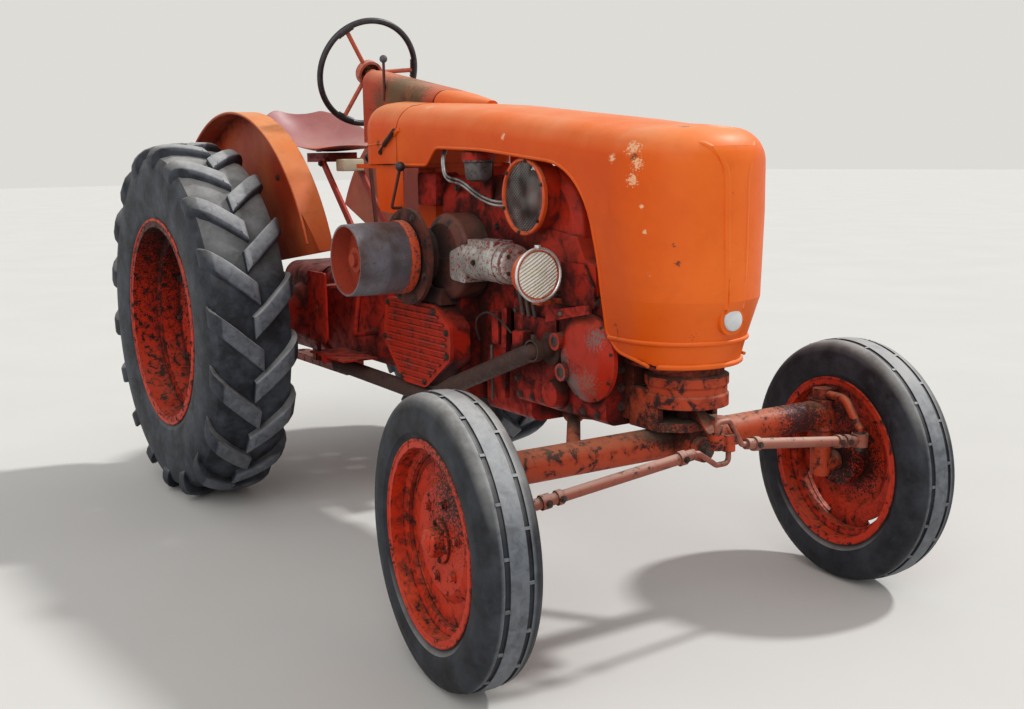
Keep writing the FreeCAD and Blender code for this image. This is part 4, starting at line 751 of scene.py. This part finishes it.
def make_intake_screen():
    """Ring with a diamond mesh of flat wires over the blower's mouth."""
    x, y, z = SCREEN
    bm = bmesh.new()
    lathe(bm, [(-6, 95), (-6, 104.5), (5, 105), (8, 102.5), (8, 97), (3, 94), (0, 94)], SCREEN, RIGHT, 72)
    show("intake_ring", bm, "ring", replaces=("intake_screen",))
    bm = bmesh.new()
    reach, step = 95.0, 7.6
    count = int(reach / step)
    for turn in (-1, 1):
        for i in range(-count, count + 1):
            offset = i * step
            half = math.sqrt(reach * reach - offset * offset)
            slant = Matrix.Rotation(math.radians(38 * turn), 4, "Y")
            at = Matrix.Translation((x, y + 0.7 * turn, z)) @ slant @ Matrix.Translation((0, 0, offset))
            bmesh.ops.create_cube(bm, size=1.0, matrix=at @ Matrix.Diagonal((2 * half, 1.3, 1.7, 1)))
    show("intake_mesh", bm, "pipe")
    bm = bmesh.new()
    lathe(bm, [(-80, 0), (-80, 88), (-76, 88), (-60, 60), (-30, 30), (-22, 0)], (x, y + 100, z), RIGHT, 40,
          False)
    show("blower_rotor_cap", bm, "alloy")


def make_engine_bolts():
    """Bolts of the covers, flanges and castings: in rings, in rows and one by one."""
    bm = bmesh.new()
    for x, y, z, radius, count, start, size in (
            (TIMING[0], -164, TIMING[1], 110, 9, 12, 5), (SCREEN[0], -209, SCREEN[2], 98, 6, 20, 4),
            (PULLEY[0], -296, PULLEY[1], 130, 8, 22, 8), (PULLEY[0] + 92, -206, PULLEY[1], 116, 8, 8, 7)):
        for spot in ring_of((x, y, z), radius, count, start):
            bolt(bm, spot, RIGHT, size)
    for x, z in ((50, 782), (22, 668), (136, 552), (284, 552), (430, 650), (430, 722), (354, 782)):
        bolt(bm, (x, -252, z), RIGHT, 7.5)
    for i in range(7):
        bolt(bm, (676 + 62 * i, -150, 566), RIGHT, 7)
        bolt(bm, (676 + 62 * i, -150, 862), RIGHT, 7)
    for i in range(4):
        bolt(bm, (664, -150, 610 + 66 * i), RIGHT, 8)
    for x, z in ((470, 905), (530, 1040), (640, 1150), (300, 1150)):
        bolt(bm, (x, -128, z), RIGHT, 8)
    for y in (-100, 100):
        for z in (590, 640, 690):
            bolt(bm, (1085, y, z), (1, 0, 0), 9)
    show("engine_bolts", bm, "bolts")


def make_engine_bay():
    """Struts, brackets, inspection covers, filter and pipes on the engine's right side."""
    bm = bmesh.new()
    plate(bm, [(602, 545), (622, 545), (640, 812), (612, 812)], -170, -152, 3)
    plate(bm, [(690, 620), (860, 620), (872, 650), (872, 800), (690, 800)], -158, -150, 4)
    plate(bm, [(896, 848), (1046, 848), (1046, 900), (1000, 962), (896, 962)], -158, -149, 3)
    block(bm, (78, 200), (-150, -60), (1092, 1196), 8)
    block(bm, (700, 760), (-196, -150), (690, 760), 10)
    block(bm, (560, 600), (-176, -118), (700, 800), 6)
    plate(bm, [(876, 800), (1075, 842), (1075, 866), (876, 830)], -196, -186, 3)
    lathe(bm, [(0, 0), (0, 40), (10, 42), (40, 36), (46, 0)], (880, -150, 600), RIGHT, 32, False)
    show("engine_side_castings", bm, "engine")
    bm = bmesh.new()
    round_bar(bm, (538, -160, 527), (538, -160, 693), 5)
    round_bar(bm, (950, -200, 830), (880, -160, 812), 6)
    for x, z in ((921, 752), (947, 672)):
        lathe(bm, [(0, 0), (0, 15), (2, 15), (2, 11), (-10, 11), (-10, 0)], (x, -199, z), RIGHT, 24, False)
    for x in (712, 742, 772):
        round_bar(bm, (x, -160, 800), (x, -172, 868), 6)
        round_bar(bm, (x, -172, 868), (x, -120, 930), 4)
    show("engine_rods", bm, "iron")
    up = (0, 0, 1)
    bm = bmesh.new()
    lathe(bm, [(0, 0), (0, 22), (6, 34), (16, 39), (54, 41), (58, 46), (62, 46), (62, 0)], FILTER, up, 32,
          False)
    show("fuel_filter_bowl", bm, "bowl", replaces=("fuel_filter_lines",))
    bm = bmesh.new()
    lathe(bm, [(62, 0), (62, 48), (84, 48), (90, 42), (92, 20), (98, 18), (98, 0)], FILTER, up, 32, False)
    block(bm, (474, 514), (-140, -126), (1120, 1240), 4)
    show("fuel_filter_head", bm, "engine")
    for name, shift in (("fuel_pipe_outer", 0), ("fuel_pipe_inner", 11)):
        route = [(300 + shift, -150, 1300), (312 + shift, -186, 1262), (322 + shift, -192, 1204 + shift / 3),
                 (352, -192, 1172 + shift), (434, -192, 1166 + shift), (500, -191, 1136 + shift),
                 (574, -190, 1112 + shift), (650, -190, 1104 + shift), (700, -188, 1110 + shift)]
        pipe(name, route, 4.2, "pipe", ("fuel_filter_lines",))
    route = [(470, -160, 700), (500, -200, 760), (560, -196, 800), (620, -190, 790), (660, -168, 742)]
    pipe("oil_pipe", route, 3.2, "bolts")


def make_pulley_band():
    """Flaking orange band at the drum's inner end."""
    bm = bmesh.new()
    lathe(bm, [(305, 104), (305, 111.5), (309, 112.4), (330, 111.9), (334, 110.6), (334, 104)],
          (PULLEY[0], 0, PULLEY[1]), RIGHT, 72)
    show("pulley_painted_band", bm, "flaking", "belt_pulley")


def make_starter():
    """Clamp band, cover screws and terminals of the starter."""
    bm = bmesh.new()
    y, z = STARTER
    lathe(bm, [(700, 56.2), (700, 59), (716, 59), (716, 56.2)], (0, y, z), (1, 0, 0), 40)
    lathe(bm, [(738, 0), (738, 50), (748, 48), (752, 40), (752, 0)], (0, y, z), (1, 0, 0), 40, False)
    show("starter_band", bm, "alloy")
    bm = bmesh.new()
    for x in (566, 676):
        bolt(bm, (x, y, z + 62), (0, 0, 1), 5)
    for spot in ring_of((752, y, z), 34, 4, 45, "X"):
        bolt(bm, spot, (1, 0, 0), 4)
    bolt(bm, (620, y - 57, z), RIGHT, 6)
    show("starter_screws", bm, "bolts")


# Hood and lamps

# Edge of the hood's side opening from its rear seam to its hinge: (x, z) in mm and the radius of the corner
OPENING_EDGE = ((80, 1221, 0), (262, 1221, 24), (322, 1273, 46), (590, 1264, 2000), (1085, 1215, 215),
                (1122, 973, 600), (1118, 797, 30), (1150, 752, 60), (1270, 729, 0))
# Plan of the nose at some heights: z, centre of its half circle, and the circle's radius
NOSE_PLAN = ((720, 1188, 160), (785, 1198, 170), (890, 1216, 190), (1100, 1191, 215))
# The nose's roof, rounded over above SHOULDER_Z: the circle of its flat top, and the rounding's radius
SHOULDER_Z = 1222
FLAT_TOP_R = 130
SHOULDER_R = 85
# Ridge down the nose: y, z, and how deep its bead has sunk there
NOSE_RIDGE = ((24, 872, 0), (27, 980, 0), (30, 1100, 0), (31, 1180, 0), (38, 1215, 0), (54, 1244, 1),
              (78, 1264, 4), (104, 1272, 9))


def nose_plan(z):
    """Centre and radius of the nose's half circle at a height."""
    for (low, front, near), (high, back, far) in zip(NOSE_PLAN, NOSE_PLAN[1:]):
        if z < high:
            share = (z - low) / (high - low)
            return front + (back - front) * share, near + (far - near) * share
    return NOSE_PLAN[-1][1:]


def make_hood_lips():
    """Rolled lip round each side opening of the hood, with a fillet at each corner of its edge."""
    for name, hand in SIDES:
        stops = []
        for i, (x, z, radius) in enumerate(OPENING_EDGE):
            here = Vector((x, z))
            if not radius:
                stops.append((here, None, None))
                continue
            back = (Vector(OPENING_EDGE[i - 1][:2]) - here).normalized()
            ahead = (Vector(OPENING_EDGE[i + 1][:2]) - here).normalized()
            bend = math.pi - back.angle(ahead)
            reach = radius * math.tan(bend / 2)
            arm = radius * 4 / 3 * math.tan(bend / 4)
            stops.append((here + back * reach, None, here + back * (reach - arm)))
            stops.append((here + ahead * reach, here + ahead * (reach - arm), None))
        stops = [[spot and Vector((spot.x, hand * (nose_plan(spot.y)[1] - 1), spot.y)) for spot in stop]
                 for stop in stops]
        bead("hood_lip_" + name, stops, 4.6, "hood", "hood")
        crease = [(-140, hand * 214.4, 1286), (-40, hand * 214.6, 1291), (60, hand * 214.6, 1296)]
        bead("tank_crease_" + name, [(Vector(at), None, None) for at in crease], 2.6, "cowl", "tractor", 0.2)


def nose_at(y, z):
    """A point 3 mm under the nose's skin at y and z, in mm."""
    centre, r = nose_plan(z)
    if z >= NOSE_PLAN[-1][0]:
        r = FLAT_TOP_R + math.sqrt(SHOULDER_R ** 2 - max(z - SHOULDER_Z, 0) ** 2)
    return Vector((centre + math.sqrt(r * r - y * y) - 3, y, z))


def make_nose_beads():
    """Soft edges of the ridge down the nose, and the two rolled bands round its foot."""
    for name, hand in SIDES:
        path = [nose_at(hand * y, z) - Vector((sunk, 0, 0)) for y, z, sunk in NOSE_RIDGE]
        stops = []
        for at, below, above in zip(path, path[:1] + path, path[1:] + path[-1:]):
            slope = (above - below).normalized() / 3
            stops.append((at, at - slope * (at - below).length, at + slope * (above - at).length))
        bead("nose_ridge_edge_" + name, stops, 9.5, "hood", "hood", 0.2)
    for name, z, centre, r, turn, thick in (("middle", 785, 1198, 171, 90, 6.0),
                                            ("foot", 725, 1188, 163, 56, 7.0)):
        half = math.radians(turn)
        arm = r * 4 / 3 * math.tan(half / 4)
        stops = []
        for a in (-half, 0, half):
            at = Vector((centre + r * math.cos(a), r * math.sin(a), z))
            along = Vector((-math.sin(a), math.cos(a), 0)) * arm
            stops.append([at, at - along, at + along])
        stops[0][1] = stops[-1][2] = None
        if turn == 90:
            stops = [(Vector((1124, -r, z)), None, None)] + stops + [(Vector((1124, r, z)), None, None)]
        bead("nose_band_" + name, stops, thick, "hood", "hood")


def make_hood_fittings():
    """Plain disc on the nose, and the spring catches at the hood's rear edge."""
    bm = bmesh.new()
    lathe(bm, [(0, 0), (0, 27), (4, 28), (8, 26), (10, 20), (11.5, 0)], (1393, 0, 844), (1, 0, 0), 40, False)
    show("nose_disc", bm, "disc", "hood")
    bm = bmesh.new()
    for hand in (-1, 1):
        start, end = Vector((72, hand * 223, 1330)), Vector((-8, hand * 223, 1284))
        coil = [start.lerp(end, i / 72) + Vector((0, 6.5 * math.cos(i * 0.9), 6.5 * math.sin(i * 0.9)))
                for i in range(73)]
        for first, second in zip(coil, coil[1:]):
            round_bar(bm, first, second, 2.2, 6)
        round_bar(bm, end, end + Vector((-32, 0, -20)), 3.6)
        bolt(bm, (-42, hand * 215, 1262), (0, hand, 0), 6)
        round_bar(bm, (-42, hand * 213, 1262), (-42, hand * 222, 1262), 7)
    show("hood_catch", bm, "bolts")
    bm = bmesh.new()
    for hand in (-1, 1):
        plate(bm, [(64, 1312), (92, 1328), (88, 1338), (60, 1324)], hand * 214, hand * 222, 1.5)
    show("hood_catch_hook", bm, "hood", "hood")


def make_lamps():
    """Plated rings with their clamps, and reflectors."""
    x, y, z = LAMP
    bm = bmesh.new()
    for hand in (-1, 1):
        lathe(bm, circle_profile(0, 69.5, 4.2), (x, hand * y, z), (1, 0, 0), 56)
        block(bm, (x - 12, x + 6), (hand * y - 5, hand * y + 5), (z + 70, z + 79), 2)
    show("lamp_rings", bm, "chrome")
    bm = bmesh.new()
    for hand in (-1, 1):
        lathe(bm, [(0, 30), (0, 12), (6, 8), (8, 0)], (x - 16, hand * y, z), (1, 0, 0), 24, False)
    show("lamp_reflectors", bm, "chrome")


# Driver's place

def make_steering_wheel():
    """Thicker grips where the spokes meet the rim, and the hub's nut."""
    at = Matrix.Translation(STEERING_WHEEL) @ Matrix.Rotation(math.radians(STEERING_WHEEL_TILT), 4, "Y")
    bm = bmesh.new()
    for angle in (5, 125, 245):
        ends = [math.radians(angle - 8 + 4 * part) for part in range(6)]
        ends = [at @ Vector((0, GRIP_R * math.cos(a), GRIP_R * math.sin(a))) for a in ends]
        for start, end, radius in zip(ends, ends[1:], (12.2, 13.2, 13.2, 13.2, 12.2)):
            round_bar(bm, start, end, radius, 18)
    show("steering_wheel_grips", bm, "plastic", "steering_wheel")
    outward = at.to_3x3() @ Vector((-1, 0, 0))
    bm = bmesh.new()
    lathe(bm, [(20, 0), (20, 24), (25.5, 24), (25.5, 0)], STEERING_WHEEL, outward, 40, False)
    bolt(bm, at @ Vector((-26, 0, 0)), outward, 13)
    show("steering_wheel_nut", bm, "bolts", "steering_wheel")


def make_knobs():
    """Balls on the gear lever and the hand lever, and the throttle's rubber knob."""
    levers = ((-566, 0, 1246), 19.6), ((138, -240, 1217), 15.6)
    for name, finish, balls in (("lever_balls", "plastic", levers),
                                ("throttle_knob", "knob", (((-260, -85, 1580), 13.6),))):
        bm = bmesh.new()
        for spot, size in balls:
            bmesh.ops.create_uvsphere(bm, u_segments=24, v_segments=14, radius=size,
                                      matrix=Matrix.Translation(spot))
        show(name, bm, finish)


# Rows of the pressed seat pan from its lip to its back: x, half width, height in the middle and at the edge
SEAT_ROWS = ((-722, 150, 1292, 1276), (-770, 188, 1280, 1284), (-850, 208, 1272, 1300),
             (-950, 213, 1268, 1330), (-1060, 208, 1282, 1374), (-1150, 182, 1326, 1412),
             (-1205, 130, 1392, 1436), (-1222, 96, 1428, 1442))


def make_seat_pan():
    """The pan as one smooth pressing with a rolled rim."""
    bm = bmesh.new()
    bmesh.ops.create_grid(bm, x_segments=len(SEAT_ROWS) - 1, y_segments=8, size=0.5)
    for vert in bm.verts:
        x, half, middle, edge = SEAT_ROWS[round((0.5 - vert.co.x) * (len(SEAT_ROWS) - 1))]
        share = vert.co.y * 2
        vert.co = (x, half * share, middle + (edge - middle) * share * share)
    bmesh.ops.solidify(bm, geom=bm.faces, thickness=-5.0)
    pan = show("seat_pan_pressing", bm, "seat", replaces=("seat_pan",))
    smooth = pan.modifiers.new("smooth", "SUBSURF")
    smooth.levels = smooth.render_levels = 2


def make_seat_fittings():
    """Box of the rear lamp under the seat, and the bolts of seat and frame."""
    bm = bmesh.new()
    block(bm, (-776, -704), (-44, 44), (1196, 1242), 6)
    show("seat_light_box", bm, "cream")
    bm = bmesh.new()
    for x, z in ((-860, 1276), (-960, 1272)):
        for y in (-30, 30):
            bolt(bm, (x, y, z), (0, 0, 1), 8)
    for y in (-77, 77):
        bolt(bm, (-838, y, 1226), (0, y, 0), 9)
        bolt(bm, (-452, y, 872), (0, y, 0), 9)
    show("seat_bolts", bm, "bolts")


def make_fender_fittings():
    """Rolled wire edge round each fender's outer rim, and the bolts of its stays."""
    bm = bmesh.new()
    turns = [math.radians(24 + 125.5 * i / 60) for i in range(61)]
    for hand in (-1, 1):
        edge = [(REAR_AXLE_X + FENDER_EDGE_R * math.cos(a), hand * FENDER_EDGE_Y,
                 REAR_TYRE_R + FENDER_EDGE_R * math.sin(a)) for a in turns]
        for start, end in zip(edge, edge[1:]):
            round_bar(bm, start, end, 5, 10)
    show("fender_rolled_edges", bm, "fender")
    bm = bmesh.new()
    for hand in (-1, 1):
        for x, z in ((-760, 940), (-860, 960), (-980, 940), (-620, 1180), (-1080, 1180)):
            bolt(bm, (x, hand * 343.5, z), (0, hand, 0), 8)
    show("fender_bolts", bm, "bolts")


# Steering and front axle

def make_steering_fittings():
    """Clamp collars and bolts on the track rods, and the caps and nuts of their balls."""
    ahead = Vector((math.cos(math.radians(PARKED_STEER)), math.sin(math.radians(PARKED_STEER)), 0))
    aside = Vector((ahead.y, -ahead.x, 0))
    for name, side in SIDES:
        ball = Vector((FRONT_AXLE_X, side * KINGPIN_Y, BALL_Z)) + STEER_ARM * ahead
        neck = Vector((LEVER_X - 8, side * 105, 520)) + STEER_ARM * ahead + side * SOCKET_Y * aside
        start = ball + Vector((0, -side * 18, -6))
        run = neck - start
        bm = bmesh.new()
        for near, far in ((0.07, 0.12), (0.16, 0.19), (0.9, 0.94)):
            round_bar(bm, start + run * near, start + run * far, 18.5, 24)
        show("track_rod_collars_" + name, bm, "rods", "tie_rod_" + name)
        bm = bmesh.new()
        for near in (0.095, 0.175, 0.92):
            spot = start + run * near
            bolt(bm, spot + Vector((19, 0, 0)), (1, 0, 0), 6)
            round_bar(bm, spot + Vector((-19, 0, 0)), spot + Vector((-25, 0, 0)), 5, 6)
        bolt(bm, ball + Vector((0, 0, -26)), (0, 0, -1), 11)
        round_bar(bm, ball + Vector((0, 0, 13)), ball + Vector((0, 0, 17)), 19, 24, 0.8)
        show("track_rod_bolts_" + name, bm, "bolts", "tie_rod_" + name)


def make_column_fittings():
    """Bolts of the front column, nuts and grease nipples of the kingpins, and the exhaust's clamp."""
    bm = bmesh.new()
    for y in (-70, 70):
        bolt(bm, (1300, y, 719.5), (0, 0, 1), 7)
    bolt(bm, (1303, 0, 500), (1, 0, 0), 17)
    for hand in (-1, 1):
        spot = Vector((FRONT_AXLE_X, hand * KINGPIN_Y, 547))
        bolt(bm, spot, (0, 0, 1), 13)
        round_bar(bm, spot + Vector((22, 0, -20)), spot + Vector((30, 0, -12)), 3.5, 8)
    show("column_bolts", bm, "bolts")
    bm = bmesh.new()
    lathe(bm, [(0, 26.2), (0, 31), (22, 31), (22, 26.2)], (848, -206, 720), (0.1, -1, 0), 36)
    block(bm, (840, 856), (-222, -208), (748, 764), 2)
    show("exhaust_clamp", bm, "exhaust")


# Stage

# The photograph's camera: place in m, turns in degrees, and focal length and width in its pixels
CAMERA_PLACE = (3.5364, -2.0083, 1.2472)
CAMERA_YAW, CAMERA_PITCH, CAMERA_ROLL = 147.38, 9.44, -0.88
CAMERA_FOCAL, PHOTO_WIDTH = 1199.07, 1024
SENSOR_MM = 36.0
# Name, where the light comes from, its strength and how wide it is in degrees
SUNS = (("key", (0.1, 0.66, 0.75), 2.3, 5.0), ("fill", (0.75, -0.75, 0.7), 1.1, 50.0))


def make_floor(tint):
    """Wide plain floor."""
    bm = bmesh.new()
    bmesh.ops.create_grid(bm, x_segments=1, y_segments=1, size=60.0)
    mesh = bpy.data.meshes.new("floor")
    bm.to_mesh(mesh)
    bm.free()
    mesh.materials.append(stage_finish("pale_concrete", tint))
    floor = bpy.data.objects.new("floor", mesh)
    bpy.context.scene.collection.objects.link(floor)


def make_light():
    """Soft white sky, which looks paler past the floor's edge than its light is, and two suns."""
    world = bpy.data.worlds.new("soft_sky")
    world.use_nodes = True
    tree = world.node_tree
    sky = tree.nodes["Background"]
    settle(tree, sky, {"Color": linear("#F4F5F7"), "Strength": 0.62})
    plain = add(tree, "Glow", linear("#DEDCD7"), 1.0)
    path = add(tree, "Ray").node.outputs
    seen = add(tree, "Greater", path["Is Camera Ray"], path["Is Glossy Ray"])
    seen = add(tree, "Greater", seen, path["Is Transmission Ray"])
    both = add(tree, "Either", seen, sky.outputs[0], plain)
    tree.links.new(both, tree.nodes["World Output"].inputs["Surface"])
    bpy.context.scene.world = world
    for name, toward, power, spread in SUNS:
        data = bpy.data.lights.new(name, "SUN")
        data.energy, data.angle = power, math.radians(spread)
        sun = bpy.data.objects.new(name, data)
        sun.rotation_euler = (-Vector(toward)).to_track_quat("-Z", "Y").to_euler()
        bpy.context.scene.collection.objects.link(sun)


def make_camera():
    """The camera at the photograph's angle."""
    yaw, pitch, roll = (math.radians(turn) for turn in (CAMERA_YAW, CAMERA_PITCH, CAMERA_ROLL))
    forward = Vector((math.cos(yaw) * math.cos(pitch), math.sin(yaw) * math.cos(pitch), -math.sin(pitch)))
    right = forward.cross(Vector((0, 0, 1))).normalized()
    up = right.cross(forward)
    x_axis = math.cos(roll) * right + math.sin(roll) * up
    y_axis = math.cos(roll) * up - math.sin(roll) * right
    data = bpy.data.cameras.new("photo_view")
    data.sensor_fit, data.sensor_width = "HORIZONTAL", SENSOR_MM
    data.lens = CAMERA_FOCAL * SENSOR_MM / PHOTO_WIDTH
    camera = bpy.data.objects.new("photo_view", data)
    turn = Matrix((x_axis, y_axis, -forward)).transposed().to_4x4()
    camera.matrix_world = Matrix.Translation(CAMERA_PLACE) @ turn
    scene = bpy.context.scene
    scene.collection.objects.link(camera)
    scene.camera = camera
    scene.view_settings.view_transform = "Standard"


# The add-on

class TractorSizes(bpy.types.PropertyGroup):
    """Sizes of the fittings that a user may change"""
    lug_count: bpy.props.IntProperty(name="Lugs a side", description="Lugs in each row of a rear tyre",
                                     default=18)
    lug_width: bpy.props.FloatProperty(name="Lug width", description="Width of a lug's worn top",
                                       default=0.050, unit="LENGTH")
    lug_height: bpy.props.FloatProperty(name="Lug height", description="Height of the rear tyres' worn lugs",
                                        default=0.028, unit="LENGTH")
    groove_depth: bpy.props.FloatProperty(name="Groove depth", default=0.008, unit="LENGTH",
                                          description="Depth of the front tyres' grooves")
    cross_bars: bpy.props.IntProperty(name="Cross bars", description="Thin bars round each front groove",
                                      default=19)


class TractorColours(bpy.types.PropertyGroup):
    """Colours that a user may change"""
    hood: bpy.props.FloatVectorProperty(name="Hood", description="Enamel of the hood", subtype="COLOR",
                                        default=linear("#CE4A02")[:3])
    engine: bpy.props.FloatVectorProperty(name="Engine", description="Enamel of the castings",
                                          subtype="COLOR", default=linear("#A8200F")[:3])
    wheels: bpy.props.FloatVectorProperty(name="Wheels", description="Enamel of the wheels", subtype="COLOR",
                                          default=linear("#BC2E12")[:3])
    floor: bpy.props.FloatVectorProperty(name="Floor", description="Floor of the studio", subtype="COLOR",
                                         default=linear("#CECCC7")[:3])


class TRACTOR_OT_finishes(bpy.types.Operator):
    """Makes every finish and puts it on the frame's nodes"""
    bl_idname = "tractor.finishes"
    bl_label = "Finishes"

    def execute(self, context):
        make_finishes(context.scene.tractor_colours)
        for finish, names in FINISH_NODES.items():
            for name in names:
                for slot in NODES[name].material_slots:
                    slot.material = FINISH[finish]
        return {"FINISHED"}


class TRACTOR_OT_rear_tyres(bpy.types.Operator):
    """Rear tyres with two rows of slanting lugs"""
    bl_idname = "tractor.rear_tyres"
    bl_label = "Rear tyres"

    def execute(self, context):
        make_rear_tyres(context.scene.tractor_sizes)
        return {"FINISHED"}


class TRACTOR_OT_front_tyres(bpy.types.Operator):
    """Front tyres with ribs and grooves"""
    bl_idname = "tractor.front_tyres"
    bl_label = "Front tyres"

    def execute(self, context):
        make_front_tyres(context.scene.tractor_sizes)
        return {"FINISHED"}


class TRACTOR_OT_wheel_fittings(bpy.types.Operator):
    """Rim edges, wheel nuts and valves"""
    bl_idname = "tractor.wheel_fittings"
    bl_label = "Wheel fittings"

    def execute(self, context):
        make_wheel_fittings()
        return {"FINISHED"}


class TRACTOR_OT_intake_screen(bpy.types.Operator):
    """Ring and diamond mesh of the blower's intake"""
    bl_idname = "tractor.intake_screen"
    bl_label = "Intake screen"

    def execute(self, context):
        make_intake_screen()
        return {"FINISHED"}


class TRACTOR_OT_engine_side(bpy.types.Operator):
    """Bolts, struts, pipes, filter and starter fittings of the engine"""
    bl_idname = "tractor.engine_side"
    bl_label = "Engine side"

    def execute(self, context):
        make_engine_bolts()
        make_engine_bay()
        make_starter()
        return {"FINISHED"}


class TRACTOR_OT_pulley_band(bpy.types.Operator):
    """Flaking band on the belt pulley"""
    bl_idname = "tractor.pulley_band"
    bl_label = "Pulley band"

    def execute(self, context):
        make_pulley_band()
        return {"FINISHED"}


class TRACTOR_OT_hood_fittings(bpy.types.Operator):
    """Rolled lips and beads, nose disc and spring catches"""
    bl_idname = "tractor.hood_fittings"
    bl_label = "Hood fittings"

    def execute(self, context):
        make_hood_lips()
        make_nose_beads()
        make_hood_fittings()
        return {"FINISHED"}


class TRACTOR_OT_lamps(bpy.types.Operator):
    """Plated rings and reflectors of the headlamps"""
    bl_idname = "tractor.lamps"
    bl_label = "Lamps"

    def execute(self, context):
        make_lamps()
        return {"FINISHED"}


class TRACTOR_OT_steering_wheel(bpy.types.Operator):
    """Grips and nut of the steering wheel"""
    bl_idname = "tractor.steering_wheel"
    bl_label = "Steering wheel"

    def execute(self, context):
        make_steering_wheel()
        return {"FINISHED"}


class TRACTOR_OT_drivers_place(bpy.types.Operator):
    """Knobs, seat with its box and bolts, and fender edges"""
    bl_idname = "tractor.drivers_place"
    bl_label = "Driver's place"

    def execute(self, context):
        make_knobs()
        make_seat_pan()
        make_seat_fittings()
        make_fender_fittings()
        return {"FINISHED"}


class TRACTOR_OT_front_end(bpy.types.Operator):
    """Track rod collars, column bolts and exhaust clamp"""
    bl_idname = "tractor.front_end"
    bl_label = "Front end"

    def execute(self, context):
        make_steering_fittings()
        make_column_fittings()
        return {"FINISHED"}


class TRACTOR_OT_stage(bpy.types.Operator):
    """Floor, light and the camera at the photograph's angle"""
    bl_idname = "tractor.stage"
    bl_label = "Stage"

    def execute(self, context):
        make_floor(context.scene.tractor_colours.floor)
        make_light()
        make_camera()
        return {"FINISHED"}


OPERATORS = (TRACTOR_OT_finishes, TRACTOR_OT_rear_tyres, TRACTOR_OT_front_tyres, TRACTOR_OT_wheel_fittings,
             TRACTOR_OT_intake_screen, TRACTOR_OT_engine_side, TRACTOR_OT_pulley_band,
             TRACTOR_OT_hood_fittings, TRACTOR_OT_lamps, TRACTOR_OT_steering_wheel, TRACTOR_OT_drivers_place,
             TRACTOR_OT_front_end, TRACTOR_OT_stage)


class TRACTOR_PT_panel(bpy.types.Panel):
    """Lists the tractor's pieces in the sidebar"""
    bl_idname = "TRACTOR_PT_panel"
    bl_label = "Tractor"
    bl_space_type = "VIEW_3D"
    bl_region_type = "UI"
    bl_category = "Tractor"

    def draw(self, context):
        for operator in OPERATORS:
            self.layout.operator(operator.bl_idname)


CLASSES = (TractorSizes, TractorColours) + OPERATORS + (TRACTOR_PT_panel,)


def register():
    for item in CLASSES:
        bpy.utils.register_class(item)
    bpy.types.Scene.tractor_sizes = bpy.props.PointerProperty(type=TractorSizes)
    bpy.types.Scene.tractor_colours = bpy.props.PointerProperty(type=TractorColours)


def unregister():
    del bpy.types.Scene.tractor_colours
    del bpy.types.Scene.tractor_sizes
    for item in reversed(CLASSES):
        bpy.utils.unregister_class(item)


def main():
    """Registers the classes and runs each operator in order."""
    register()
    for operator in OPERATORS:
        group, call = operator.bl_idname.split(".")
        getattr(getattr(bpy.ops, group), call)()


if __name__ == "__main__":
    main()
